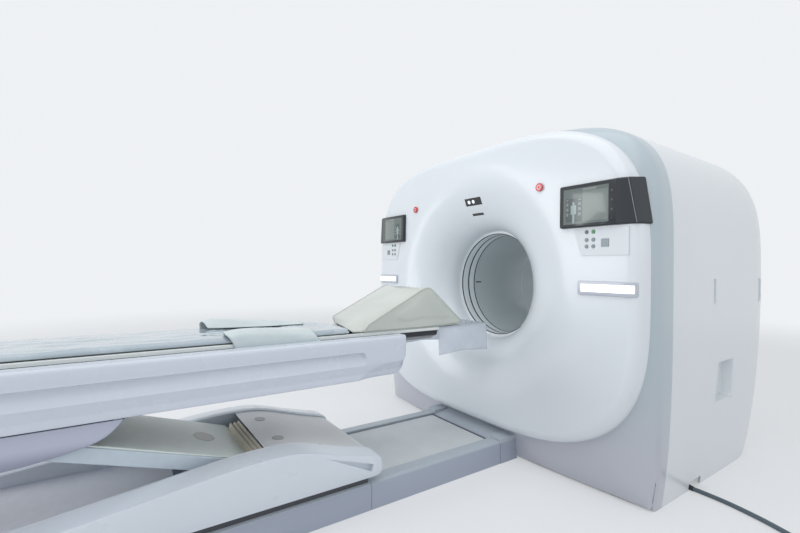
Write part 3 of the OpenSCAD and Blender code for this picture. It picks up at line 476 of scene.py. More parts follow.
def turned_metal(name, colour, rough=0.28):
    f = Finish(name, Metallic=1.0)
    lines = f.noise(60, 6, f.stretched(1, 14, 1))
    f.set(Base_Color=f.mix(lines, colour, shaded(colour, 0.82)), Roughness=rough + 0.15 * lines,
          Normal=f.bump(lines, 0.0001))


def rubber(name, colour, rough=0.55):
    f = Finish(name)
    fine = f.noise(300, 4)
    f.set(Base_Color=f.mix(f.noise(12, 3), colour, shaded(colour, 1.35)),
          Roughness=rough + 0.12 * fine, Normal=f.bump(fine, 0.0002))


moulding("front_white", (0.80, 0.84, 0.87), 0.26, coat=0.35)
moulding("shell_white", (0.78, 0.82, 0.845))
moulding("rear_white", (0.78, 0.82, 0.845))
# Paler and more lavender towards the floor: painted light, the floor's light on the lower band and the
# plinth.
moulding("band_grey", (0.50, 0.575, 0.615), foot=(0.15, 0.75, (0.54, 0.555, 0.61)))
moulding("ring_white", (0.86, 0.91, 0.94), 0.26)
moulding("liner_white", (0.62, 0.68, 0.70), 0.2, coat=0.5)
moulding("light_silver", (0.56, 0.585, 0.65), 0.25, coat=0.4)
moulding("panel_white", (0.77, 0.80, 0.825), 0.4, 0.0001, coat=0.0)
moulding("fairing_white", (0.73, 0.78, 0.84), 0.28, coat=0.3)
moulding("table_white", (0.68, 0.725, 0.81), 0.27, coat=0.35)
# Darker below the crease: painted shade on the pod's sides where they lean in and face down.
moulding("pod_white", (0.54, 0.57, 0.68), foot=(0.490, 0.545, (0.36, 0.37, 0.47)))
moulding("hood_beige", (0.68, 0.70, 0.72), 0.34, 0.0001, coat=0.2)
moulding("cap_grey", (0.34, 0.345, 0.34), 0.4)
moulding("display_dark", (0.020, 0.027, 0.034), 0.36, coat=0.1, drift=0.2)
moulding("window_black", (0.008, 0.008, 0.01), 0.08, 0.00003, coat=0.6, drift=0.1)
moulding("stop_red", (0.62, 0.012, 0.02), 0.22, coat=0.6)
moulding("symbol_white", (0.85, 0.86, 0.86), 0.4)
moulding("button_grey", (0.20, 0.25, 0.28), 0.35, 0.0002)
moulding("button_slate", (0.08, 0.11, 0.15), 0.35, 0.0002)
moulding("button_green", (0.01, 0.22, 0.05), 0.3, 0.0002)
moulding("button_square", (0.26, 0.31, 0.34), 0.35, 0.0002)
# A nearly black line at the cradle's lower edge: painted shadow in the gap above the table top.
moulding("cradle_white", (0.78, 0.82, 0.80), 0.33, foot=(0.803, 0.806, (0.02, 0.022, 0.028)))
moulding("tongue_white", (0.62, 0.67, 0.71))
moulding("plug_dark", (0.02, 0.022, 0.026), 0.42, 0.0003, coat=0.0)
rubber("seal_dark", (0.010, 0.012, 0.014), 0.45)
rubber("belt_rubber", (0.008, 0.008, 0.008))
rubber("cable_grey", (0.085, 0.115, 0.135), 0.42)
# Darker below the rails' tops: painted shade on their sides, which get less light than the tops.
painted_metal("track_grey", (0.50, 0.55, 0.60), 0.36, (0.116, 0.126, (0.39, 0.43, 0.515)))
# Nearly black below the deck: painted shadow in the gap between the fairings and the rails.
painted_metal("chassis_paint", (0.88, 0.89, 0.94), 0.38, (0.158, 0.162, (0.05, 0.055, 0.065)))
painted_metal("arm_paint", (0.60, 0.69, 0.76), 0.34)
painted_metal("arm_beige", (0.76, 0.83, 0.79), 0.34)
painted_metal("frame_paint", (0.1, 0.12, 0.14))
painted_metal("table_metal", (0.13, 0.15, 0.17))
painted_metal("motor_paint", (0.02, 0.022, 0.025))
painted_metal("tube_metal", (0.34, 0.37, 0.4))
painted_metal("tank_metal", (0.28, 0.31, 0.34))
turned_metal("bearing_steel", (0.5, 0.5, 0.52))
turned_metal("detector_metal", (0.42, 0.44, 0.46))
turned_metal("pulley_metal", (0.6, 0.61, 0.63))
turned_metal("drum_metal", (0.55, 0.57, 0.6), 0.35)
turned_metal("arc_metal", (0.06, 0.07, 0.08), 0.4)
turned_metal("link_steel", (0.4, 0.41, 0.43), 0.35)

# %% [markdown]
# The mat between the rails has fine ribs across it, too many to model. A sine along the
# bore axis makes them: it shades the grooves and bends the normal.

# %%
def ribbed(name, colour, pitch):
    f = Finish(name)
    rib = (f.axis("Y") * (2 * math.pi / pitch)).math("SINE").ramp(-0.9, 0.4)
    worn = f.noise(5, 4).ramp(0.4, 0.65)
    tint = f.mix(rib, shaded(colour, 0.88), f.mix(worn, colour, shaded(colour, 0.94)))
    f.set(Base_Color=tint, Roughness=0.5 + 0.1 * worn, Normal=f.bump(rib, 0.0008))


ribbed("mat_grey", (0.80, 0.84, 0.85), 0.011)

# %% [markdown]
# The cushions are covered with glossy vinyl. Its leather-like grain is a Voronoi edge
# pattern, and slow folds in the sheet come from a second, much wider noise. The pad and
# the cover over the tongue lie under clear film, whose long wrinkles catch the light.

# %%
def vinyl(name, colour, gloss, folds, fold_scale=7, coat=0.5):
    f = Finish(name, Coat_Weight=coat, Coat_Roughness=0.06)
    cells = f.node("ShaderNodeTexVoronoi", {"feature": "DISTANCE_TO_EDGE"}, Vector=f.place,
                   Scale=520.0)
    wide = f.noise(fold_scale, 3)
    f.set(Base_Color=f.mix(wide.ramp(0.3, 0.7), colour, shaded(colour, 0.9)),
          Roughness=gloss + 0.1 * f.noise(20, 3),
          Normal=f.bump(wide, folds, Normal=f.bump(cells, 0.00008, 0.6)))


def covered_pad(name):
    """A woven pad under a clear film."""
    f = Finish(name, Coat_Weight=0.6, Coat_Roughness=0.04, Specular_IOR_Level=0.6)
    wrinkles = f.noise(6, 4, f.stretched(1, 0.45, 1))
    patches = f.noise(14, 5, f.stretched(1, 0.6, 1)).ramp(0.48, 0.62)
    tint = f.mix(patches, (0.40, 0.475, 0.53), (0.48, 0.555, 0.60))
    # The nearly black colour along the pad's lower edge is painted shadow in the gap under the pad.
    f.set(Base_Color=f.painted_light_below(tint, (0.8225, 0.8265, (0.03, 0.04, 0.04))),
          Roughness=0.14 + 0.22 * patches,
          Normal=f.bump(wrinkles, 0.004, Normal=f.bump(f.noise(900, 2), 0.0001, 0.5)))


def clear_film(name):
    f = Finish(name, Roughness=0.16, Specular_IOR_Level=0.6, Coat_Weight=0.3)
    wave = f.noise(6, 4)
    f.set(Base_Color=f.mix(wave, (0.62, 0.68, 0.76), (0.80, 0.85, 0.92)), Alpha=0.46 + 0.2 * wave,
          Normal=f.bump(wave, 0.004))


def coated_cloth(name):
    f = Finish(name)
    threads = f.noise(600, 2, f.stretched(1, 3, 1))
    f.set(Base_Color=f.mix(f.noise(18, 4), (0.50, 0.46, 0.38), (0.60, 0.56, 0.47)),
          Roughness=0.75 + 0.1 * threads, Normal=f.bump(threads, 0.0004))


def lit(name, colour, strength):
    """A diffuser that shines evenly, with a faint mottle."""
    f = Finish(name, Roughness=0.3, Base_Color=(0.85, 0.88, 0.9), Emission_Strength=strength)
    f.set(Emission_Color=f.mix(f.noise(40, 2), colour, shaded(colour, 0.93)))


vinyl("wedge_vinyl", (0.62, 0.655, 0.60), 0.2, 0.001, 4)
vinyl("strap_vinyl", (0.66, 0.74, 0.745), 0.34, 0.0015, coat=0.2)
vinyl("piping_vinyl", (0.50, 0.53, 0.48), 0.25, 0.0)
covered_pad("pad_blue")
clear_film("sheet_clear")
coated_cloth("pleat_cream")
lit("lamp_white", (0.95, 0.98, 1.0), 1.1)
lit("lens_white", (0.80, 0.90, 0.98), 0.45)

# %% [markdown]
# ## What the displays show
# The screens show a plain scan page: panes, a header, rows of marks and a simple figure,
# with no words. A picture file isn't needed, because each pane is a rectangle, and a
# rectangle is the product of four comparisons on the piece's own coordinates. The page
# is drawn from the gantry's middle outwards, so both screens mirror each other.

# %%
PANES = [((0.744, 0.986, 1.388, 1.568), (0.085, 0.105, 0.100)),
         ((0.758, 0.846, 1.400, 1.520), (0.050, 0.066, 0.066)),
         ((0.852, 0.982, 1.400, 1.548), (0.125, 0.150, 0.140)),
         ((0.852, 0.925, 1.552, 1.564), (0.150, 0.160, 0.155))]
MARKS = [(0.762, 0.772, 1.43, 1.515), (0.828, 0.842, 1.42, 1.515)]
FIGURE = [(0.795, 0.807, 1.392, 1.500), (0.786, 0.816, 1.438, 1.484)]
TOUCH_KEYS = (0.997, 1.005, 1.40, 1.56)


def scan_page(name):
    f = Finish(name, Roughness=0.2, Coat_Weight=0.4, Coat_Roughness=0.05, Emission_Strength=0.5)
    x, z = f.axis("X").math("ABSOLUTE"), f.axis("Z")

    def pane(x1, x2, z1, z2):
        return (x > x1) * (x < x2) * (z > z1) * (z < z2)

    def rows(pitch, share):
        return (z * (1 / pitch)).math("FRACT") < share

    page = (0.008, 0.010, 0.013)
    for edges, colour in PANES:
        page = f.mix(pane(*edges), page, colour)
    page = f.mix((pane(*MARKS[0]) + pane(*MARKS[1])) * rows(0.026, 0.6), page, (0.16, 0.18, 0.18))
    page = f.mix((pane(*FIGURE[0]) + pane(*FIGURE[1])).ramp(0, 1), page, (0.21, 0.26, 0.26))
    page = f.mix(pane(*TOUCH_KEYS) * rows(0.045, 0.2), page, (0.06, 0.07, 0.075))
    f.set(Base_Color=page, Emission_Color=page)


scan_page("screen_page")

# %% [markdown]
# ## The gantry's outline
# The gantry is a tall block with very soft corners. Its outline is a superellipse, which
# is flatter than an ellipse on its sides and turns fast at its corners. Every cover uses
# the same angles round the bore axis, so the covers meet all the way round.

# %%
BORE_H, BORE_R, RING_Y, FACE_Y = 1.054, 0.35, -0.5, -0.787
RIM_Y, LIP_R, FUNNEL_R, FUNNEL_DEPTH = FACE_Y + 0.085, 0.37, 0.80, 0.287
HALF_SHELL, HALF_BASE, SHELL_TOP = 1.15, 1.105, 1.965
ROOF_H = SHELL_TOP - BORE_H
BAND_BACK, REAR_Y = RING_Y - 0.023, 0.92
SHELL_FRONT, REAR_LIP_Y = BAND_BACK + 0.0004, 0.85
WALL, GAP = 0.008, 0.0003
EDGE_OVAL = (1.13, 0.903, 0.891, 3.6, 3.3)
SHELL_OVAL = (HALF_SHELL, ROOF_H, BORE_H, 4.6, 4.6)
CORNER_A = math.atan2(BORE_H, HALF_BASE)
ARCH_STEPS, FLOOR_STEPS = 200, 40
ANGLES = (spread(-CORNER_A, math.pi + CORNER_A, ARCH_STEPS)[:-1]
          + spread(math.pi + CORNER_A, 2 * math.pi - CORNER_A, FLOOR_STEPS)[:-1])


def oval_r(a, half_w, up, down, n_up, n_down):
    h, n = (up, n_up) if math.sin(a) >= 0 else (down, n_down)
    return ((abs(math.cos(a)) / half_w) ** n + (abs(math.sin(a)) / h) ** n) ** (-1 / n)


def edge_r(a):
    """The radius of the front cover's edge."""
    return oval_r(a, *EDGE_OVAL)


def below(a):
    """0 above the bore's height, 1 at the foot's corner and along the floor."""
    return min(1, abs(math.tan(a)) / math.tan(CORNER_A)) if math.sin(a) < 0 else 0


def on_floor(a):
    return math.sin(a) < 0 and abs(math.tan(a)) >= math.tan(CORNER_A) * 0.9999


def shell_r(a):
    """The radius of the shells: a superellipse above, and legs that draw in below."""
    if math.sin(a) >= 0:
        return oval_r(a, *SHELL_OVAL)
    if on_floor(a):
        return BORE_H / abs(math.sin(a))
    return (HALF_SHELL - (HALF_SHELL - HALF_BASE) * below(a) ** 3) / abs(math.cos(a))


def at(r, a, y):
    return r * math.cos(a), y, BORE_H + r * math.sin(a)


def round_at(radius_of, y):
    """A loop round the bore axis at one depth."""
    return [at(radius_of(a), a, y) for a in ANGLES]


def shell_point(a, side_in, roof_in, wall, y):
    x, z = shell_r(a) * math.cos(a), shell_r(a) * math.sin(a)
    x *= 1 - (side_in + wall) / HALF_SHELL
    z = z * (1 - (roof_in + wall) / ROOF_H) if z >= 0 else max(z, wall - BORE_H)
    return x, y, BORE_H + z


def quarter(steps):
    return spread(0, QUARTER, steps)


# %% [markdown]
# ## The front cover
# The front is one white moulding: a funnel leads from the bore to a flat face, and the
# face rolls back over a soft edge. The funnel's profile is a quarter of an ellipse. The
# loft runs out from the bore over the face to the rim, and back again inside, so the
# cover has a real wall.

# %%
ROLL_DEPTH, ROLL_IN = 0.075, 0.068


def funnel_loop(turn, w=0.0):
    r = FUNNEL_R - (FUNNEL_R - LIP_R - w) * math.cos(turn)
    return round_at(lambda a: r, RING_Y - (FUNNEL_DEPTH - w) * math.sin(turn))


def edge_loop(turn, w=0.0):
    y = FACE_Y + w + (ROLL_DEPTH - w) * (1 - math.cos(turn))
    return round_at(lambda a: edge_r(a) - w - (ROLL_IN - w) * (1 - math.sin(turn)), y)


outside = [funnel_loop(t) for t in quarter(30)] + [edge_loop(t) for t in quarter(12)]
outside += [round_at(edge_r, RIM_Y - 0.002), round_at(lambda a: edge_r(a) - 0.002, RIM_Y)]
inside = [round_at(lambda a: edge_r(a) - WALL, RIM_Y)] + [edge_loop(t, WALL) for t in quarter(3)[::-1]]
inside += [funnel_loop(t, WALL) for t in quarter(6)[::-1]]
front_shell = ring_loft("front_shell", outside + inside, "front_cover", stands=True)

# %% [markdown]
# Buttons need room behind the face, so boxes and round holes are taken out of the cover
# with booleans. The two dark windows lie in the funnel, square to its slope. A display
# is a solid between its lower and its upper plan, and its room is the same a bit larger.

# %%
STATUS_R, STATUS_SIZE = 0.556, (0.150, 0.052)
SLIT_R, SLIT_SIZE = 0.475, (0.104, 0.018)
STOP_X, STOP_Z, STOP_HOLE = 0.578, 1.613, 0.0150
DISPLAY_LOW = [(0.718, -0.811), (1.030, -0.811), (1.106, -0.783), (1.142, -0.705), (1.126, -0.692),
               (1.085, -0.745), (1.030, -0.765), (0.718, -0.765)]
DISPLAY_TOP = [(0.718, -0.811), (1.030, -0.811), (1.072, -0.796), (1.120, -0.737), (1.108, -0.718),
               (1.070, -0.755), (1.030, -0.765), (0.718, -0.765)]
DISPLAY_Z = (1.371, 1.589)
PANEL_X, PANEL_Z = (0.847, 0.993), (1.242, 1.359)
ROOM = 0.0006
TO_FRONT = Matrix.Rotation(QUARTER, 4, "X")


def on_funnel(r):
    """The frame on the funnel at a height above the bore axis: X across and Y out of the surface."""
    t = math.acos((FUNNEL_R - r) / (FUNNEL_R - LIP_R))
    slope = math.atan2(math.cos(t) / (FUNNEL_R - LIP_R), math.sin(t) / FUNNEL_DEPTH)
    place = Matrix.Translation((0, RING_Y - FUNNEL_DEPTH * math.sin(t), BORE_H + r))
    return place @ Matrix.Rotation(slope, 4, "X")


def display_form(name, s, by, node=None, **rest):
    plans = [grown([Vector(p) for p in plan], by) for plan in (DISPLAY_LOW, DISPLAY_TOP)]
    heights = (DISPLAY_Z[0] - by, DISPLAY_Z[1] + by)
    loops = [[(s * x, y, z) for x, y in plan] for plan, z in zip(plans, heights)]
    return lofted(name, loops, node, **rest)


cutters = []
for s in (-1, 1):
    cutters.append(display_form("cutter", s, ROOM))
    cutters.append(block("cutter", (s * PANEL_X[0], FACE_Y - 0.005, PANEL_Z[0]),
                         (s * PANEL_X[1], FACE_Y + 0.013, PANEL_Z[1])))
    stop_place = Matrix.Translation((s * STOP_X, FACE_Y, STOP_Z)) @ TO_FRONT
    cutters.append(finish_mesh("cutter", turned_block(STOP_HOLE, 0.06, 32, matrix=stop_place)))
for r, size in ((STATUS_R, STATUS_SIZE), (SLIT_R, SLIT_SIZE)):
    half_x, half_z = size[0] / 2 + ROOM, size[1] / 2 + ROOM
    room = block("cutter", (-half_x, -0.02, -half_z), (half_x, 0.014, half_z))
    cutters.append(placed(room, on_funnel(r)))
cut(front_shell, *cutters)
print("front cover", len(front_shell.data.polygons), "faces")

# %% [markdown]
# ## The grey band and the plinth
# Behind the white cover a blue-grey band slopes out to the side of the gantry, and below
# it becomes the plinth. Two thirds of it are a plain slope, and a soft crease turns it
# into the side. The crease is a curve through three points, drawn in eight steps. The
# displays reach into the band, and the track runs in through a doorway in the plinth.

# %%
BAND_IN, BAND_FRONT = 0.006, RIM_Y + GAP
DOORWAY_HALF, DOORWAY_TOP = 0.3523, 0.1463


def crease_y(a):
    x = abs(shell_r(a) * math.cos(a)) / HALF_BASE
    return RING_Y - 0.115 - 0.075 * (max(0, 1 - x * x) if on_floor(a) else 0)


def band_loops():
    start = round_at(lambda a: edge_r(a) - BAND_IN, BAND_FRONT)
    middle, crease, back = [], [], []
    for a in ANGLES:
        r0, r1 = edge_r(a) - BAND_IN, shell_r(a)
        middle.append(Vector(at((r0 + r1) / 2, a, RIM_Y * 0.7 + crease_y(a) * 0.3)))
        crease.append(Vector(at(r1, a, crease_y(a))))
        back.append(Vector(shell_point(a, 0, 0, 0, BAND_BACK)))
    before = [m.lerp(c, 0.72) for m, c in zip(middle, crease)]
    after = [c.lerp(b, 0.45) for c, b in zip(crease, back)]
    loops = [start, [Vector(s).lerp(m, 0.04) for s, m in zip(start, middle)], middle]
    for t in spread(0, 1, 8):
        loops.append([p * (1 - t) ** 2 + c * 2 * t * (1 - t) + q * t * t
                      for p, c, q in zip(before, crease, after)])
    for wall, y in ((0, BAND_BACK - 0.003), (0.0025, BAND_BACK), (WALL, BAND_BACK)):
        loops.append([shell_point(a, 0, 0, wall, y) for a in ANGLES])
    loops.append([shell_point(a, 0, 0, WALL, crease_y(a) + WALL) for a in ANGLES])
    loops.append(round_at(lambda a: edge_r(a) - BAND_IN - WALL, BAND_FRONT))
    return loops


grey_band = ring_loft("grey_band", band_loops(), "bezel_band", stands=True)
doorway = block("cutter", (-DOORWAY_HALF, RIM_Y - 0.06, -0.01),
                (DOORWAY_HALF, BAND_BACK + 0.01, DOORWAY_TOP))
cut(grey_band, doorway, *(display_form("cutter", s, 0.001) for s in (1, -1)), crossing=True)

# %% [markdown]
# ## The side shells and the rear cover
# Two white shells close the sides and meet on the roof, and a rear cover with a shallow
# funnel closes the back. The rear corner is a quarter of an ellipse that is deeper at
# the roof than at the sides. The shells stop a little short of the flat rear.

# %%
SLOT_Y, SLOT_Z, HALF_SLOT, GRIP_Z = (-0.03, 0.68), (0.974, 1.120), 0.0175, (0.43, 0.656)
GRIP = [(0.0, GRIP_Z[0]), (0.236, GRIP_Z[0]), (0.25, GRIP_Z[1]), (0.03, GRIP_Z[1])]
NOTCH_Y, NOTCH_TOP = (-0.23, -0.09), 0.046
CUT_X = (1.06, 1.2)
SHELL_TURN, REAR_TURN = math.radians(74), math.radians(74.15)


def up_share(a):
    return math.sin(a) ** 2 if math.sin(a) > 0 else 0


def corner_point(a, turn, wall):
    low = below(a) ** 1.5
    length = 0.33 + 0.2 * up_share(a) - 0.03 * low
    deep = 1 - math.cos(turn)
    y = REAR_Y - 0.02 * up_share(a) - 0.17 * low - length + (length - wall) * math.sin(turn)
    return shell_point(a, 0.12 * deep, 0.24 * deep, wall, y)


def side_shell(s, side):
    angles = spread(-CORNER_A, QUARTER, 110)
    turns = spread(0, SHELL_TURN, 14)
    rows = [[shell_point(a, 0, 0, 0.0025, SHELL_FRONT) for a in angles],
            [shell_point(a, 0, 0, 0, SHELL_FRONT + 0.003) for a in angles]]
    rows += [[corner_point(a, t, 0) for a in angles] for t in turns]
    rows += [[corner_point(a, t, WALL) for a in angles] for t in turns[::-3]]
    rows += [[shell_point(a, 0, 0, WALL, SHELL_FRONT) for a in angles]]
    rows = [[(s * (max(x, 0) + 0.0002), y, z) for x, y, z in row] for row in rows]
    shell = lofted(side + "_side", rows, side + "_shell", around=False, along=True, stands=True)
    cutters = [block("cutter", (s * CUT_X[0], y - HALF_SLOT, SLOT_Z[0]),
                     (s * CUT_X[1], y + HALF_SLOT, SLOT_Z[1])) for y in SLOT_Y]
    cutters.append(block("cutter", (s * 0.985, NOTCH_Y[0], -0.01),
                         (s * CUT_X[1], NOTCH_Y[1], NOTCH_TOP)))
    cut(shell, *cutters, across("cutter", GRIP, (s * CUT_X[0], s * 1.26)))


for s, side in SIDES:
    side_shell(s, side)


def rear_loops():
    lip, mouth = BORE_R + 0.005 + GAP, 0.58
    funnel = [round_at(lambda a: mouth - (mouth - lip - w) * math.cos(t),
                       REAR_LIP_Y + (REAR_Y - REAR_LIP_Y - w) * math.sin(t))
              for w, turns in ((WALL, quarter(3)[::-1]), (0.0, quarter(8))) for t in turns]
    roll = [(t, 0) for t in spread(REAR_TURN, QUARTER, 5)[::-1]] + [(REAR_TURN, WALL), (QUARTER, WALL)]
    return funnel + [[corner_point(a, t, wall) for a in ANGLES] for t, wall in roll]


ring_loft("rear_shell", rear_loops(), "rear_cover", stands=True)

# %% [markdown]
# ## Pockets in the sides
# The finger slots and the hand grips are separate cups: a thin rounded lip lies on the
# shell and the cup sinks behind it. A loft of rounded outlines makes both, and its last
# outline is closed by the floor of the cup.

# %%
CUP_IN = 0.002


def side_x(z):
    """Half the width of the shells at a height below the bore axis."""
    return HALF_SHELL - (HALF_SHELL - HALF_BASE) * (max(0, BORE_H - z) / BORE_H) ** 3


def cup(name, node_name, s, corners, radius, depth):
    edge = rounded_outline(corners, radius)
    steps = ((0.0075, -0.003), (0.0075, -0.0016), (0.006, -0.0001), (0.001, -0.0001), (-0.001, -0.0014),
             (-0.002, -0.003), (-0.004, 0.004 - depth), (-0.006, 0.001 - depth), (-0.010, -depth))
    loops = [[(s * (side_x(v) + out), u, v) for u, v in grown(edge, by)] for by, out in steps]
    piece = lofted(name, loops, node_name, caps=False, recalc=False)
    bm = bmesh.new()
    bm.from_mesh(piece.data)
    floor = [e for e in bm.edges if e.is_boundary
             and all(abs(v.co.x) < side_x(v.co.z) - depth + 0.002 for v in e.verts)]
    bmesh.ops.contextual_create(bm, geom=floor)
    bmesh.ops.recalc_face_normals(bm, faces=bm.faces)
    if max(bm.faces, key=lambda f: f.calc_area()).normal.x * s < 0:
        bmesh.ops.reverse_faces(bm, faces=bm.faces)
    for f in bm.faces:
        f.smooth = len(f.verts) == 4
    bm.to_mesh(piece.data)
    bm.free()


for s, side in SIDES:
    for k, y in enumerate(SLOT_Y):
        y1, y2 = y - HALF_SLOT + CUP_IN, y + HALF_SLOT - CUP_IN
        z1, z2 = SLOT_Z[0] + CUP_IN, SLOT_Z[1] - CUP_IN
        corners = [(y1, z1), (y2, z1), (y2, z2), (y1, z2)]
        cup(f"{side}_slot_{k + 1}", side + "_shell", s, corners, 0.008, 0.017)
    cup(side + "_grip", side + "_shell", s,
        [(0.002, 0.432), (0.234, 0.432), (0.248, 0.654), (0.032, 0.654)],
        0.03, 0.052)

# %% [markdown]
# ## The bore
# Two white rings and three dark seals line the mouth of the bore, a small lip of the
# cover hides the first seal's edge, and a thin glossy lining runs on to the rear. Each
# ring is spun in effect, but a loft of circles with a rounded profile gives the same
# with its edges already soft.

# %%
RING_PITCH, SEAL_T, SEAL_MORE = 0.061, 0.006, 0.0028
LINER_Y = RING_Y + 2 * RING_PITCH + SEAL_T
LINER_T = 0.005


def turned(name, node_name, profile, segments=144, **rest):
    """A form turned round the bore axis from a closed profile of (radius, depth) pairs."""
    loops = [[at(p[0], a, p[1]) for a in circle(segments)] for p in profile]
    return ring_loft(name, loops, node_name, sharp=math.radians(60), **rest)


def bore_profile(r1, r2, y1, y2, soft):
    """A profile between two radii and two depths, with four rounded corners."""
    return rounded_outline([(r1, y1), (r1, y2), (r2, y2), (r2, y1)], soft, 3)


for k in range(2):
    y = RING_Y + SEAL_T + k * RING_PITCH
    ends = (y + k * SEAL_MORE, y + RING_PITCH - SEAL_T - SEAL_MORE)
    profile = bore_profile(BORE_R, LIP_R - 0.0004, *ends, 0.002)
    turned(f"bore_ring_{k + 1}", "bore_rings", profile, stands=k == 0)
SEALS = ((0, 0, 0.001), (SEAL_MORE, SEAL_MORE, 0.003), (SEAL_MORE, 0, 0.003))
for k, (before, after, under) in enumerate(SEALS):
    y = RING_Y + k * RING_PITCH
    profile = bore_profile(BORE_R - GAP, LIP_R - under, y - before, y + SEAL_T + after, 0.0008)
    turned(f"bore_seal_{k + 1}", "bore_seals", profile, stands=k == 0)
turned("cover_lip", "front_cover",
       bore_profile(BORE_R + 0.0045, LIP_R + 0.0008, RING_Y - 0.0032, RING_Y - 0.0002, 0.0012))
lining = turned("bore_lining", "bore_liner",
                [(BORE_R, LINER_Y), (BORE_R, -0.1), (BORE_R, REAR_LIP_Y),
                 (BORE_R + LINER_T, REAR_LIP_Y),
                 (BORE_R + LINER_T, LINER_Y)], 192, stands=True)
slits = []
for a in (0, QUARTER, math.pi):
    slit = block("cutter", (BORE_R - 0.01, LINER_Y + 0.014, -0.0045),
                 (BORE_R + 0.01, LINER_Y + 0.074, 0.0045))
    slits.append(placed(slit, Matrix.Translation((0, 0, BORE_H)) @ Matrix.Rotation(-a, 4, "Y")))
cut(lining, *slits)
turned("lining_bead", "bore_liner",
       bore_profile(BORE_R - 0.0012, BORE_R + GAP, 0.178, 0.186, 0.0005), 192,
       look="ring_white")

# %% [markdown]
# ## Windows, displays and lamps
# The dark windows already have the right outline in the CAD, so a copy only gets rounded
# edges. The displays and the light bars are drawn again, because they follow the cover
# where it rolls back at the side. The glass of a display, the lenses in the dark window
# and the diffuser of a lamp are pieces of their own.

# %%
softened("sensor_windows", 0.0006)
SCREEN_X, SCREEN_Z, SEAM_R = 0.873, 1.480, 0.0016


def rounded_slab(name, node_name, look, x, z, half_x, half_z, radius, y, thick, edge=0.0006):
    """A thin rounded rectangle that faces the front at a depth y."""
    corners = [(x - half_x, z - half_z), (x + half_x, z - half_z), (x + half_x, z + half_z),
               (x - half_x, z + half_z)]
    line = rounded_outline(corners, radius, 6)
    loops = [[(u, y + d, v) for u, v in grown(line, -by)]
             for by, d in ((0, thick), (0, edge), (edge * 0.3, edge * 0.3), (edge, 0))]
    lofted(name, loops, node_name, look, sharp=math.radians(50))


for x, side in ((-0.040, "left"), (0.0, "middle")):
    place = on_funnel(STATUS_R) @ Matrix.Translation((x, -0.0013, 0)) @ TO_FRONT
    bm = turned_block(0.0125, 0.0012, 40, matrix=place)
    soften_edges(finish_mesh("window_lens_" + side, bm, "sensor_windows", "lens_white"), 0.0004)
for s, side in SIDES:
    soften_edges(display_form(side + "_display", s, 0, "displays", stands=s > 0), 0.009, 4)
    rounded_slab(side + "_screen", "displays", "screen_page", s * SCREEN_X, SCREEN_Z, 0.150, 0.105,
                 0.009, -0.8117, 0.001)
    (x1, y1), (x2, y2) = DISPLAY_LOW[2], DISPLAY_TOP[2]
    ends = ((x1, y1, DISPLAY_Z[0] + 0.006), (x2, y2, DISPLAY_Z[1] - 0.006))
    seam = [[(s * (x - 0.0026 + SEAM_R * math.cos(a)), y + 0.0008 + SEAM_R * math.sin(a), z)
             for a in circle(6)] for x, y, z in ends]
    lofted(side + "_display_seam", seam, "displays", "button_grey")


def light_bar(name, look, s, x, z, y, soft, **rest):
    """A long bar with rounded ends that follows the cover where it rolls back at the side."""
    ends = [(soft * (1 - math.cos(t)), soft * (1 - math.sin(t))) for t in quarter(5)]
    rows = [(x[0] + d, e) for d, e in ends] + [(u, 0) for u in spread(x[0], x[1], 24)[2:23]]
    rows += [(x[1] - d, e) for d, e in ends[::-1]]
    loops = []
    for u, e in rows:
        back = 8 * max(0, u - 1.05) ** 2
        section = [(y[0] + 0.4 * e, z[0] + e), (y[1], z[0] + e), (y[1], z[1] - e),
                   (y[0] + 0.4 * e, z[1] - e)]
        outline = rounded_outline(section, min(soft, 0.006) * 0.8, 3)
        loops.append([(s * u, v + back, w) for v, w in outline])
    lofted(name, loops, "light_bars", look, sharp=math.radians(50), **rest)


for s, side in SIDES:
    light_bar(side + "_light_frame", None, s, (0.819, 1.108), (1.0305, 1.1015), (-0.8, -0.77), 0.009,
              stands=s > 0)
    light_bar(side + "_lamp", "lamp_white", s, (0.838, 1.097), (1.047, 1.086), (-0.8012, -0.79), 0.004)

# %% [markdown]
# ## Panels, buttons and stops
# Each panel carries six round keys and a square one, and a red stop button stands above
# it. They all move in the model, so every key stays a piece of its own on its own body.
# The stop shows a plain ring, the common sign for a push button.

# %%
softened("control_panels", 0.0012)
for name in sorted(NODES):
    if "_button_" in name:
        softened(name, 0.0014, 3)
for s, side in SIDES:
    softened(side + "_stop", 0.003, 4)
    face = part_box(side + "_stop")[0][1]
    front, back = face - GAP, face + 0.0005
    profile = [(0.0095, back), (0.0095, front), (0.0125, front), (0.0125, back)]
    loops = [[(s * STOP_X + r * math.cos(a), y, STOP_Z + r * math.sin(a)) for a in circle(64)]
             for r, y in profile]
    ring_loft(side + "_stop_ring", loops, side + "_stop", "symbol_white")

# %% [markdown]
# ## Inside the gantry
# The frame, the bearing, the rotor and its drive are closed in by the covers. They keep
# their CAD form with slightly broken edges, in paint, turned steel and rubber.

# %%
for name in ("gantry_frame", "main_bearing", "rear_detector_ring", "rotor_drum", "xray_tube",
             "generator_tank", "detector_arc", "motor_pulley", "drive_motor", "drive_belt"):
    softened(name, 0.0025)

# %% [markdown]
# ## The floor track
# Two extruded rails run from the gantry to the far end. Their CAD copies get small round
# edges, as an anodised extrusion has. The ribbed mat between them is a flat slab, and it
# stops a little short of the gantry. A dark strip sunk in that gap paints its shadow.

# %%
softened("floor_track", 0.003, 3)
low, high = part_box("ribbed_mat")
mat_end = high[1] - 0.022


def mat_outline(e):
    half = [(low[0] + e, low[2] + 0.001), (low[0] + e, high[2] - 0.0012), (low[0] + 0.002 + e, high[2])]
    return half + [(low[0] + high[0] - x, z) for x, z in half[::-1]]


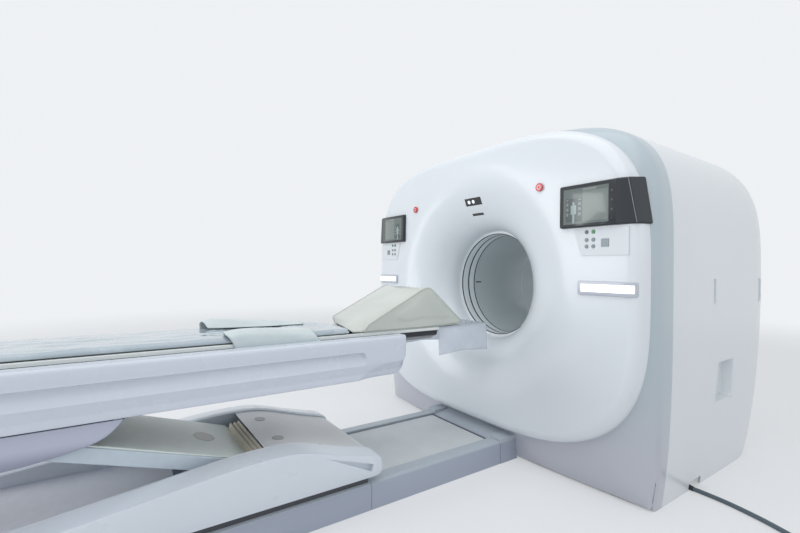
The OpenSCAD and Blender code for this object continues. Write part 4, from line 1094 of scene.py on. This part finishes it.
mat_rows = ((low[1], 0.001), (low[1] + 0.001, 0), (mat_end - 0.001, 0), (mat_end, 0.001))
mat_loops = [[(x, y, z) for x, z in mat_outline(e)] for y, e in mat_rows]
lofted("flat_mat", mat_loops, "ribbed_mat", stands=True)
# A dark strip sunk just under the mat's end: painted shadow in the gap.
mat_shadow_strip = block("mat_shadow_strip", (low[0] + 0.001, mat_end - 0.004, high[2] - 0.010),
                (high[0] - 0.001, high[1] - 0.0005, high[2] - 0.006), "ribbed_mat", "plug_dark")
soften_edges(mat_shadow_strip, 0.0005, 3)

# %% [markdown]
# ## The moving base
# Two mouldings flank a hood like the sides of a shoe. Their crown rises from the nose and
# falls slowly to the rear. A smooth curve through the crown's heights drives the loft,
# and the nose is blunt. A long recess is cut into each outer side near the nose.

# %%
NOSE_Y, SLED_L, HALF_SLED, HALF_HOOD = -1.67, 1.98, 0.388, 0.262
SLED_BOTTOM, SLED_TOP = 0.172, 0.382
CROWN = [(0, 0.36), (0.012, 0.42), (0.035, 0.475), (0.09, 0.545), (0.2, 0.69), (0.4, 0.96), (0.56, 1),
         (0.72, 0.95), (0.96, 0.82), (1.3, 0.62), (1.66, 0.44), (1.98, 0.32)]
RECESS = [(-1.953, 0.3105, 0.004), (-1.953, 0.3085, 0.004), (-1.739, 0.2035, 0.026),
          (-1.729, 0.2355, 0.026)]
NOSE_STATIONS = [(0.0, 0.008), (0.002, 0.0035), (0.006, 0.0008)]
crown_line = smooth_pairs(CROWN, 12)


def crown_z(s):
    """The height of the crown at a distance behind the nose."""
    share = crown_line[-1][1]
    for (s1, a), (s2, b) in zip(crown_line, crown_line[1:]):
        if s <= s2:
            share = a + (b - a) * (s - s1) / (s2 - s1)
            break
    return SLED_BOTTOM + (SLED_TOP - SLED_BOTTOM) * share


def fairing_section(s, shrink):
    z, b, i = crown_z(s) - shrink, SLED_BOTTOM + shrink * 0.5, HALF_HOOD + 0.0006
    x = HALF_SLED - 0.014 * max(0, 1 - s / 0.05) ** 2 - shrink
    ridge = z - 0.011 * min(1, (z - b) / 0.16)
    outer = [(x - 0.012, b), (x - 0.003, b + (ridge - b) * 0.2), (x, b + (ridge - b) * 0.5),
             (x - 0.005, ridge - 0.010), (x - 0.010, ridge - 0.0015), (x - 0.019, ridge + 0.0012),
             (i + 0.012, z - 0.001)]
    return [(i, b)] + smooth_pairs(outer, 5) + [(i, z - 0.007)]


stations = NOSE_STATIONS + [(0.012 + 0.0175 * k, 0) for k in range(24)]
stations += [(0.43 + 0.05 * k, 0) for k in range(31)]
stations += [(SLED_L - d, shrink) for d, shrink in ((0.006, 0.0008), (0.002, 0.0035), (0, 0.008))]
for s, side in SIDES:
    loops = [[(s * x, NOSE_Y - d, z) for x, z in fairing_section(d, shrink)] for d, shrink in stations]
    fairing = lofted(side + "_fairing", loops, "sled_fairings", stands=s > 0, sharp=math.radians(40))
    sides = [[(s * (HALF_SLED - depth), y, z) for y, z, depth in RECESS],
             [(s * (HALF_SLED + 0.02), y, z) for y, z, _ in RECESS]]
    cut(fairing, lofted("cutter", sides))

# %% [markdown]
# The hood between them is one curved sheet of warm grey plastic. Its profile is lofted
# across the base, and the last centimetre at each side turns down a little. Flat oval
# caps close its screw holes.

# %%
HOOD_BACK, HOOD_SUNK, HOOD_T = 0.53, 0.012, 0.007
HOOD_EDGE = [(0, 0.003), (0.001, 0.0012), (0.004, 0.0003), (0.01, 0)]
CAP_Y = -2.112


def hood_profile(drop):
    low, line = SLED_BOTTOM + 0.0005, spread(0.003, HOOD_BACK, 30)
    top = [(NOSE_Y - s, crown_z(s) - HOOD_SUNK - drop) for s in line]
    under = [(NOSE_Y - s - 0.004, crown_z(s) - HOOD_SUNK - HOOD_T - drop)
             for s in line[::-1] if s < HOOD_BACK - 0.004]
    return [(NOSE_Y - 0.002, low)] + top + under + [(NOSE_Y - 0.011, low)]


hood_places = [(e - HALF_HOOD, drop) for e, drop in HOOD_EDGE]
hood_places += [(HALF_HOOD - e, drop) for e, drop in HOOD_EDGE[::-1]]
hood_loops = [[(x, y, z) for y, z in hood_profile(drop)] for x, drop in hood_places]
lofted("hood", hood_loops, "base_hood", stands=True)


def oval_cap(name, node_name, place, half_x, half_y, slope):
    matrix = Matrix.Translation(place) @ Matrix.Rotation(slope, 4, "X")
    bm = turned_block(1, 0.0016, 48, (half_x, half_y, 1), matrix)
    soften_edges(finish_mesh(name, bm, node_name, "cap_grey"), 0.0006)


cap_s = NOSE_Y - CAP_Y
cap_slope = math.atan2(crown_z(cap_s - 0.02) - crown_z(cap_s + 0.02), 0.04)
for k, x in enumerate((-0.119, 0.168)):
    place = (x, CAP_Y, crown_z(cap_s) - HOOD_SUNK + 0.0004)
    oval_cap(f"hood_cap_{k + 1}", "base_hood", place, 0.028, 0.026, cap_slope)

# %% [markdown]
# ## The lift arm
# The arm rises from behind the hood to the table. The arm, its cover, its link and the
# chassis are painted steel boxes, so rounded CAD copies suit them. The arm's cap lies in
# the plane of the raised arm, measured back from its lower pivot.

# %%
ARM_RISE, ARM_Y, ARM_Z = math.radians(18), -2.1, 0.232
ARM_CAP_BACK, ARM_CAP_UP = 0.325, 0.0452

softened("main_arm", 0.004, 3)
softened("arm_cover", 0.0035, 3)
softened("level_link", 0.003, 3)
softened("sled_chassis", 0.0025)
cap_y = ARM_Y - ARM_CAP_BACK * math.cos(ARM_RISE) + ARM_CAP_UP * math.sin(ARM_RISE)
cap_z = ARM_Z + ARM_CAP_BACK * math.sin(ARM_RISE) + ARM_CAP_UP * math.cos(ARM_RISE)
oval_cap("arm_cap", "arm_cover", (-0.006, cap_y, cap_z), 0.056, 0.046, -ARM_RISE)

# %% [markdown]
# A pleated apron closes the gap behind the hood. It is coated cloth folded like a fan, so
# it is drawn as one thin sheet. Its profile goes up and down in soft waves and is lofted
# across the arm.

# %%
APRON_X1, APRON_X2 = -0.15, 0.2615


def apron_profile():
    y0, top = NOSE_Y - HOOD_BACK - 0.001, crown_z(HOOD_BACK) - HOOD_SUNK - 0.001
    points = []
    for k in range(3):
        y, z = y0 - 0.0185 * k, top - 0.003 * k
        points += [(0, y, z - 0.008), (0, y - 0.005, z - 0.002), (0, y - 0.013, z - 0.002)]
    return smooth_line(points + [(0, y0 - 0.056, top - 0.03), (0, y0 - 0.056, 0.325)], 5)


apron_line = apron_profile()
skin = [(p.y, p.z) for p in apron_line] + [(p.y + 0.0008, p.z - 0.0009) for p in apron_line[::-1]]
apron = across("pleated_apron", skin, spread(APRON_X1, APRON_X2, 12), "pleated_cover", stands=True)
apron_len = sum((b - a).length for a, b in zip(apron_line, apron_line[1:]))

# %% [markdown]
# ## The patient table
# The table's two sides are long mouldings with a groove that fades out near the gantry.
# The section is a smooth line through corner points, in millimetres from the top edge of
# the side, with and without the groove. Near the end the whole section shrinks by a few
# stations, which rounds the end like the real moulding.

# %%
TABLE_Y1, TABLE_Y2, HALF_TABLE, TABLE_TOP, TABLE_H = -3.935, -1.485, 0.298, 0.806, 0.202
FOOT = [(0, -129), (-2, -136), (-9, -164), (-10, -169), (-10, -174), (-9, -186), (-10, -197),
        (-14, -200)]
GROOVED = [(-66, 0), (-8, 0), (0, -10), (2, -34), (1.5, -58), (0.5, -63), (-15, -66), (-20, -73),
           (-15, -94), (-1, -124)] + FOOT
PLAIN = [(-66, 0), (-8, 0), (0, -10), (2, -34), (2, -58), (2, -63), (2, -68), (2, -76), (2, -94),
         (1, -122)] + FOOT
INNER = [(-42, -200), (-42, -186), (-40, -166), (-38, -142), (-38, -96), (-38, -56), (-40, -18),
         (-40, -12), (-78, -12)]
SECTION_H = 200
GROOVE_END = 0.236
END_CURVE = [(0, 0.034, 0.010), (0.010, 0.018, 0.005), (0.028, 0.006, 0.002), (0.060, 0, 0)]


def table_place(x, z, drop=0, inward=0):
    """A point of the section in metres from the table's middle and the floor."""
    return HALF_TABLE + x / 1000 - inward, TABLE_TOP + z * (TABLE_H - drop) / SECTION_H


def side_section(d, drop, inward):
    """The section at a distance from the end near the gantry."""
    turn = -128 - 74 * min(1, d / 0.275) ** 4
    mixed = []
    for p, q in zip(PLAIN, GROOVED):
        late = 0.034 * (1 - math.sqrt(max(0, 1 - ((p[1] + 95) / 33) ** 2)))
        share = ease((d - GROOVE_END - late) / 0.016)
        mixed.append((p[0] + (q[0] - p[0]) * share, p[1] + (q[1] - p[1]) * share))
    line = [(x - 0.45 * max(0, turn - z), z) for x, z in mixed[:1] + smooth_pairs(mixed[1:], 4)]
    outer = [table_place(x, z, drop, inward) for x, z in line]
    return outer + [table_place(x, z, drop) for x, z in INNER]


stations = [(p.x, max(0, p.y), max(0, p.z)) for p in smooth_line(END_CURVE, 4)]
stations += [(start + step * k, 0, 0) for start, step, count in
             ((0.068, 0.008, 21), (GROOVE_END, 0.003, 20), (0.3, 0.15, 14)) for k in range(count)]
stations += [(2.43, 0, 0), (2.444, 0, 0.0006), (2.449, 0.002, 0.0022), (2.45, 0.003, 0.0035)]
for s, side in SIDES:
    loops = [[(s * x, TABLE_Y2 - d, z) for x, z in side_section(d, drop, inward)]
             for d, drop, inward in stations]
    lofted(side + "_table_side", loops, "table_cover", stands=s > 0)
half_end = [(x + 0.003, z) for x, z in (table_place(*p) for p in INNER) if z < 0.715]
end_outline = half_end + [(-x, z) for x, z in half_end[::-1]]
for k, y in enumerate((TABLE_Y2 - 0.07, TABLE_Y1 + 0.05)):
    plate = [[(x, y - thick, z) for x, z in end_outline] for thick in (0, 0.012)]
    soften_edges(lofted(f"table_end_{k + 1}", plate, "table_cover"), 0.002, 3)

# %% [markdown]
# ## The pod under the table
# The lower cover is shaped like a boat. Its two sides have a crease and lean in below it
# to a rolled lower edge, and a bottom closes it behind the arm. The keel line is smooth,
# so a boolean isn't needed. Below the crease the paint is darker: painted shade on the
# sides that face down. A dark strip behind the gap between the pod and the frame paints
# the shadow in that gap.

# %%
ARM_TOP_Y, POD_KEEL_Z = -3.05106, 0.6036
KEEL = [(0.345, 0.000), (0.325, 0.034), (0.267, 0.078), (0.145, 0.110), (0.015, 0.128), (-0.155, 0.134),
        (-0.54, 0.134), (-0.64, 0.112), (-0.69, 0.060), (-0.70, 0.0)]
HALF_POD, POD_T, HALF_BOTTOM = 0.266, 0.006, 0.247
POD_TOP, POD_CREASE, POD_LEAN = 0.5945, 0.537, 0.36
keel_line = [(ARM_TOP_Y + a, POD_KEEL_Z - b) for a, b in smooth_pairs(KEEL, 6)]


def pod_loop(s, y, z):
    """One strip of a side, from its top edge to the keel and round it, then back inside."""
    bend = max(z + 0.02, POD_CREASE)
    lean = POD_LEAN * max(0, bend - z - 0.02)
    line = [(0, POD_TOP), (0, bend + 0.003), (-0.0008, bend - 0.001),
            (-0.5 * lean - 0.001, (bend + z) / 2), (-lean - 0.002, z + 0.007),
            (-lean - 0.007, z + 0.0015), (-lean - 0.018, z)]
    outer = [(HALF_POD + x, min(POD_TOP, h)) for x, h in line]
    inner = [(x - POD_T * (1 if k < 4 else 0.3), min(POD_TOP, h + (0.001 if k < 2 else POD_T)))
             for k, (x, h) in enumerate(outer)]
    return [(s * x, y, h) for x, h in outer + inner[::-1]]


for s, side in SIDES:
    loops = [pod_loop(s, y, z) for y, z in keel_line[1:-1]]
    lofted(side + "_pod_side", loops, "under_pod", stands=s > 0)
back = [(y, z) for y, z in keel_line if y < ARM_TOP_Y - 0.12]
raised = [(y + (POD_T if z > 0.5 else 0), z + (POD_T if z < 0.5 else 0)) for y, z in back[::-1]]
across("pod_bottom", back + raised, spread(-HALF_BOTTOM, HALF_BOTTOM, 8), "under_pod")
softened("table_frame", 0.0025)
# Nearly black strips behind the pod's top edge: painted shadow in the gap under the frame.
for s in (-1, 1):
    strip = block("pod_gap_shadow", (s * 0.2475, -3.74, 0.585), (s * 0.2555, -2.74, POD_KEEL_Z),
                  "table_frame", "display_dark")
    soften_edges(strip, 0.001, 3)

# %% [markdown]
# ## Cradle, tongue and pad
# The cradle is a carbon-fibre trough. A thin pad lies in it under a clear film. The pad
# is a closed form with a crowned top. Its wrinkles are real folds of a few millimetres,
# moved in code from two stretched noises, because the film pulls tight along the pad.

# %%
softened("cradle", 0.004, 3)
softened("cradle_tongue", 0.003, 3)
PAD_Y2, PAD_L, HALF_PAD, PAD_LOW, PAD_TOP = -1.765, 1.75, 0.197, 0.8206, 0.846
PAD_BELLY = [(HALF_PAD - 0.045, 0.8068), (0.08, 0.8028), (0, 0.7988), (-0.08, 0.8028),
             (-HALF_PAD + 0.045, 0.8068)]


def wrinkle(x, y, x_scale, y_scale, seed):
    return noise.noise(Vector((x * x_scale, y * y_scale, seed)))


def pad_section():
    top = [(x, PAD_TOP + 0.002 - 0.004 * (abs(x) / HALF_PAD) ** 4) for x in spread(-0.186, 0.186, 40)]
    left = [(-HALF_PAD, PAD_LOW + 0.001), (-HALF_PAD - 0.0004, PAD_LOW + 0.009),
            (-HALF_PAD + 0.003, PAD_LOW + 0.018)]
    return left + top + [(-x, z) for x, z in left[::-1]] + PAD_BELLY


def pad_row(d):
    """The section at a distance from the pad's head, drawn in at both ends."""
    y, end = PAD_Y2 - d, min(1, min(d, PAD_L - d) / 0.012)
    shrink = 0.010 * (1 - math.sqrt(max(0, 1 - (1 - end) ** 2)))
    row = []
    for x, z in pad_section():
        if z > 0.84:
            fold = 0.0042 * wrinkle(x, y, 22, 9, 3.1) + 0.003 * abs(wrinkle(x, y, 5, 30, 8.7)) - 0.001
            z += fold * min(1, (HALF_PAD - abs(x)) / 0.03)
        if z > 0.83:
            z -= shrink
        row.append((x * (1 - shrink * 0.6 / HALF_PAD), y, max(z, 0.7986)))
    return row


pad_rows = [pad_row(d) for d in spread(0, PAD_L, 180)]
pad = lofted("film_pad", pad_rows, "mattress", stands=True, sharp=SOFT)

# %% [markdown]
# ## The wedge cushion
# A foam wedge in smooth vinyl keeps the patient's knees up. It starts a little too small
# and a short cloth simulation blows it up. The tops and sides then crown between the
# corners, as foam under a tight cover does.

# %%
WEDGE = [(-1.70, PAD_LOW), (-1.30, PAD_LOW), (-1.032, 0.830), (-1.030, 0.850), (-1.246, 1.034),
         (-1.284, 1.049), (-1.324, 1.037), (-1.668, 0.860)]
HALF_WEDGE, WEDGE_FLAT_Z = 0.213, 0.823
VOXEL, PRESSURE, MOST, SIM_FRAMES = 0.0078, 3.0, 0.0025, 20
SEAM_IN, SEAM_TUBE_R, SEAM_SIDES, SEAM_LOW = 0.0025, 0.0021, 8, 0.8228


def along_outline(corners, radius, step):
    """The rounded outline with more points on its long sides."""
    line = rounded_outline(corners, radius)
    out = []
    for p, q in zip(line, line[1:] + line[:1]):
        n = max(1, round((q - p).length / step))
        out += [p.lerp(q, k / n) for k in range(n)]
    return out


wedge_line = along_outline(WEDGE, 0.012, 0.02)
wedge_mid = sum(wedge_line, Vector((0, 0))) / len(wedge_line)


def wedge_point(x, p, by):
    """A point of the outline, drawn in by a distance unless it lies on the couch.

    The low end is cut at an angle: it reaches further out at the near side."""
    if p.y >= WEDGE_FLAT_Z:
        p = p + (wedge_mid - p).normalized() * by
    share = min(1, max(0, (0.86 - p.y) / 0.036)) * min(1, max(0, (-1.60 - p.x) / 0.08))
    reach = 0.045 - 0.11 * (x + HALF_WEDGE) / (2 * HALF_WEDGE) + max(0, x - 0.185) * 2.6
    return x, p.x + reach * share, p.y


ends = [(-HALF_WEDGE, 0.008), (-HALF_WEDGE + 0.002, 0.0035), (-HALF_WEDGE + 0.006, 0.001)]
slices = ends + [(x, 0.0) for x in spread(-HALF_WEDGE + 0.012, HALF_WEDGE - 0.012, 20)]
slices += [(-x, by) for x, by in ends[::-1]]
cushion = lofted("wedge_pad", [[wedge_point(x, p, by) for p in wedge_line] for x, by in slices],
                 "wedge_cushion", stands=True, sharp=SOFT)


def puffed(piece, floor_z):
    """Fills a closed form with air for a moment, and keeps each point near its start."""
    remesh = piece.modifiers.new("even mesh", "REMESH")
    remesh.mode, remesh.voxel_size = "VOXEL", VOXEL
    even = final_mesh(piece)
    piece.modifiers.clear()
    even.materials.clear()
    even.materials.append(piece.data.materials[0])
    piece.data = even
    start = [v.co.copy() for v in even.vertices]
    cloth = piece.modifiers.new("air", "CLOTH")
    cloth.settings.use_pressure = True
    cloth.settings.uniform_pressure_force = PRESSURE
    cloth.settings.effector_weights.gravity = 0
    for frame_number in range(1, SIM_FRAMES + 1):
        bpy.context.scene.frame_set(frame_number)
    moved = piece.evaluated_get(bpy.context.evaluated_depsgraph_get()).to_mesh()
    for v, w, s in zip(even.vertices, moved.vertices, start):
        step = w.co - s
        if step.length > MOST:
            step = step.normalized() * MOST
        v.co = s + step
    piece.modifiers.clear()
    bpy.context.scene.frame_set(1)
    for v in even.vertices:
        v.co.z = max(v.co.z, floor_z)
    for f in even.polygons:
        f.use_smooth = True
    print(piece.name, "simulated points", len(even.vertices))


puffed(cushion, PAD_LOW)
fine = cushion.modifiers.new("smooth", "SUBSURF")
fine.levels = fine.render_levels = 1

# %% [markdown]
# A welded seam runs round each side of the wedge. It is a thin tube that follows the
# outline of the form, just inside its edge.

# %%
def tube_round(name, node_name, look, line, r, sides):
    """A closed tube along a closed line of points."""
    loops = []
    for k, c in enumerate(line):
        ahead = (line[(k + 1) % len(line)] - line[k - 1]).normalized()
        if abs(ahead.x) > 0.9:
            u = ahead.orthogonal().normalized()
        else:
            u = ahead.cross(Vector((1, 0, 0))).normalized()
        v = ahead.cross(u)
        loops.append([c + (u * math.cos(a) + v * math.sin(a)) * r for a in circle(sides)])
    ring_loft(name, loops, node_name, look, sharp=SOFT)


for s, side in SIDES:
    seam = []
    for p in wedge_line:
        x, y, z = wedge_point(s * HALF_WEDGE, p, SEAM_IN)
        seam.append(Vector((s * (HALF_WEDGE - 0.001), y, max(z, SEAM_LOW))))
    tube_round(side + "_wedge_seam", "wedge_cushion", "piping_vinyl", seam, SEAM_TUBE_R, SEAM_SIDES)

# %% [markdown]
# ## Body flaps
# Two flaps of padded vinyl fold over the pad from both edges of the cradle. A flap is a
# sheet: its section across the table is given at a few places along it, and a smooth
# line through these sections makes the surface. Solidify gives it its thickness.

# %%
NEAR_FLAP = [
    [(0.219, -2.318, 0.796), (0.219, -2.330, 0.830), (0.212, -2.345, 0.852), (0.185, -2.352, 0.861),
     (0.120, -2.345, 0.862), (0.050, -2.330, 0.853)],
    [(0.219, -2.250, 0.794), (0.220, -2.255, 0.832), (0.212, -2.262, 0.862), (0.180, -2.266, 0.875),
     (0.110, -2.262, 0.870), (0.030, -2.250, 0.853)],
    [(0.219, -2.100, 0.796), (0.219, -2.095, 0.828), (0.212, -2.085, 0.850), (0.180, -2.080, 0.862),
     (0.110, -2.085, 0.862), (0.040, -2.095, 0.852)],
    [(0.218, -1.930, 0.800), (0.218, -1.945, 0.820), (0.210, -1.955, 0.836), (0.182, -1.958, 0.851),
     (0.120, -1.965, 0.854), (0.060, -1.985, 0.852)]]
FAR_FLAP = [
    [(-0.219, -2.380, 0.800), (-0.219, -2.385, 0.838), (-0.200, -2.390, 0.868), (-0.150, -2.388, 0.880),
     (-0.100, -2.384, 0.876), (-0.075, -2.375, 0.857)],
    [(-0.219, -2.300, 0.798), (-0.219, -2.305, 0.838), (-0.200, -2.320, 0.872), (-0.150, -2.345, 0.892),
     (-0.095, -2.330, 0.884), (-0.060, -2.300, 0.855)],
    [(-0.219, -2.100, 0.798), (-0.219, -2.095, 0.835), (-0.205, -2.085, 0.860), (-0.150, -2.080, 0.872),
     (-0.080, -2.080, 0.868), (-0.040, -2.090, 0.853)],
    [(-0.219, -1.860, 0.802), (-0.219, -1.870, 0.826), (-0.205, -1.885, 0.846), (-0.150, -1.900, 0.856),
     (-0.090, -1.900, 0.854), (-0.050, -1.910, 0.852)]]


def line_length(points):
    return sum((b - a).length for a, b in zip(points, points[1:]))


def draped(name, node_name, sections, per, thick, stands=False):
    """A sheet through a few sections, each a row of points, smooth both ways."""
    rows = [smooth_line(row, per) for row in sections]
    columns = [smooth_line(column, per) for column in zip(*rows)]
    loops = [list(row) for row in zip(*columns)]
    piece = lofted(name, loops, node_name, around=False, caps=False, stands=stands, sharp=SOFT)
    wall = piece.modifiers.new("thickness", "SOLIDIFY")
    wall.thickness, wall.offset = thick, 0
    width = line_length(loops[len(loops) // 2])
    length = line_length([row[len(row) // 2] for row in loops])


draped("near_flap", "body_straps", NEAR_FLAP, 6, 0.003, stands=True)
draped("far_flap", "body_straps", FAR_FLAP, 6, 0.003)

# %% [markdown]
# ## The clear cover
# A clear sheet hangs over the tongue and keeps liquids off it. It is a little wider at
# its hems and waves slightly, because nothing holds it there.

# %%
COVER_HALF, COVER_Y, COVER_L = 0.2025, -0.808, 0.386


def cover_row(y, share):
    wave, low, hem = 0.004 * math.sin(y * 31), 0.668 - 0.012 * share, 0.002 + 0.006 * share
    side = [(COVER_HALF + hem, low), (COVER_HALF + hem * 0.5 - wave, 0.72), (COVER_HALF, 0.79),
            (COVER_HALF - 0.003, 0.814), (COVER_HALF - 0.012, 0.8192), (0.1, 0.8190)]
    return [(-x, y, z) for x, z in side] + [(0, y, 0.8188)] + [(x, y, z) for x, z in side[::-1]]


cover_rows = [cover_row(COVER_Y - COVER_L * k / 8, abs(k - 4) / 4) for k in range(9)]
draped("clear_cover", "clear_sheet", cover_rows, 4, 0.0008, stands=True)

# %% [markdown]
# ## The plug and the cable's exit
# The cable ends in a heavy round plug that lies on the coil. Its body is turned from a
# profile with grip rings, and a tapered sleeve protects the cable where it leaves the
# cover.

# %%
PLUG_X, PLUG_Z, PIN_R = COIL_X + COIL_R, 0.068, 0.011
NECK = [(0.0, 0.0118), (0.001, 0.0125), (0.012, 0.0132), (0.014, 0.0148), (0.030, 0.0149),
        (0.034, 0.0165), (0.040, 0.0215), (0.046, 0.0236)]
RING = [(0, 0.0238), (0.002, 0.0222), (0.004, 0.0222), (0.0058, 0.0238)]
CAP = [(0.096, 0.0239), (0.112, 0.0239), (0.117, 0.023), (0.1195, 0.021)]
PIN = [(0.1185, 0.003), (0.1196, 0.003), (0.1199, 0.0026)]
SLEEVE = [(0.0, 0.0145), (0.004, 0.0150), (0.012, 0.0150), (0.016, 0.0142), (0.03, 0.0131),
          (0.045, 0.0120), (0.046, 0.0112)]
SLEEVE_X, SLEEVE_Y, SLEEVE_H = 1.078, -0.210, 0.0150


def turned_along(name, look, profile, x, z, **rest):
    """A form turned along -Y from the coil's end: pairs of distance and radius."""
    loops = [[(x + r * math.cos(a), COIL_Y - d, z + r * math.sin(a)) for a in circle(24)]
             for d, r in profile]
    return lofted(name, loops, "cable_plug", look, **rest)


def sleeve_height(d, r, a):
    """The sleeve sinks a little along its length and lies on the floor."""
    return max(GAP, SLEEVE_H + (r * math.sin(a) - 0.004 * d / SLEEVE[-1][0]))


power_lead.data.materials.append(LOOKS["cable_grey"])
grip_rings = [(0.050 + 0.006 * k + d, r) for k in range(7) for d, r in RING]
plug = turned_along("mains_plug", "plug_dark", NECK + grip_rings + CAP, PLUG_X, PLUG_Z, stands=True)
for k in range(3):
    a = math.radians(90 + 120 * k)
    x, z = PLUG_X + PIN_R * math.cos(a), PLUG_Z + PIN_R * math.sin(a)
    turned_along(f"plug_pin_{k + 1}", "drum_metal", PIN, x, z)
loops = [[(SLEEVE_X + d, SLEEVE_Y + r * math.cos(a), sleeve_height(d, r, a)) for a in circle(24)]
         for d, r in SLEEVE]
relief = lofted("cable_relief", loops, "power_cable", "plug_dark")

# %% [markdown]
# ## Floor, light and background
# The room is left out. A plain pale floor and a pale world stand in for it. Large soft
# lamps from the front left, from the right and from above shape the covers without hard
# edges. The floor keeps the shadow of the object near it, and fades into the background
# further out.

# %%
PALE, FLOOR_HALF, FADE = (0.86, 0.88, 0.90), 60, (5, 11)
SKY, SKY_STRENGTH = (0.93, 0.96, 1.0), 0.67


def looked_at(tree):
    """One for a ray that leaves the camera, a mirror or clear film, and none for other light."""
    rays = tree.nodes.new("ShaderNodeLightPath").outputs
    kinds = ("Is Camera Ray", "Is Glossy Ray", "Is Transmission Ray")
    seen, mirrored, through = (Socket(tree, rays[kind]) for kind in kinds)
    return (seen + mirrored).math("ADD", through, clamp=True)


bm = bmesh.new()
bmesh.ops.create_grid(bm, x_segments=1, y_segments=1, size=FLOOR_HALF)
ground = finish_mesh("studio_floor", bm)
floor = Finish("studio_floor", Roughness=0.6, Specular_IOR_Level=0.2)
floor.set(Base_Color=floor.mix(floor.noise(2, 3), (0.80, 0.80, 0.81), (0.83, 0.83, 0.84)))
glow = floor.node("ShaderNodeEmission", {}, Color=rgba(PALE), Strength=1.0)
far = floor.node("ShaderNodeVectorMath", {"operation": "LENGTH"}, floor.place, out=1).ramp(*FADE)
shown = floor.node("ShaderNodeMixShader", {}, looked_at(floor.tree) * (0.45 + 0.55 * far),
                   Socket(floor.tree, floor.shader.outputs[0]), glow)
floor.tree.links.new(shown.link, floor.tree.nodes["Material Output"].inputs["Surface"])
ground.data.materials.append(floor.material)
world = bpy.data.worlds.new("studio")
bpy.context.scene.world = world
world.use_nodes = True
tree, sky = world.node_tree, world.node_tree.nodes["Background"]
sky.inputs["Color"].default_value = rgba(SKY)
sky.inputs["Strength"].default_value = SKY_STRENGTH
backdrop = node(tree, "ShaderNodeBackground", {}, Color=rgba(PALE), Strength=1.0)
light = Socket(tree, sky.outputs[0])
both = node(tree, "ShaderNodeMixShader", {}, looked_at(tree), light, backdrop)
tree.links.new(both.link, tree.nodes["World Output"].inputs["Surface"])


def lamp(name, place, aim, width, height, power, colour):
    """A soft rectangular lamp that looks at a point."""
    data = bpy.data.lights.new(name, "AREA")
    data.shape, data.size, data.size_y = "RECTANGLE", width, height
    data.energy, data.color = power, colour
    turn = (Vector(place) - Vector(aim)).normalized().to_track_quat("Z", "Y")
    add(name, data).matrix_world = Matrix.Translation(place) @ turn.to_matrix().to_4x4()


lamp("ceiling", (1.0, -2.5, 4.1), (0.3, -1.7, 0.5), 4.5, 4.5, 60, (0.97, 0.985, 1.0))
lamp("front_left", (-2.8, -6.0, 1.9), (0.0, -0.8, 0.9), 3.0, 2.4, 70, (0.95, 0.975, 1.0))
lamp("right_side", (5.2, -0.6, 2.6), (0.8, 0.3, 0.9), 2.6, 2.6, 12, (1.0, 0.98, 0.99))
bpy.context.scene.view_settings.view_transform = "Standard"
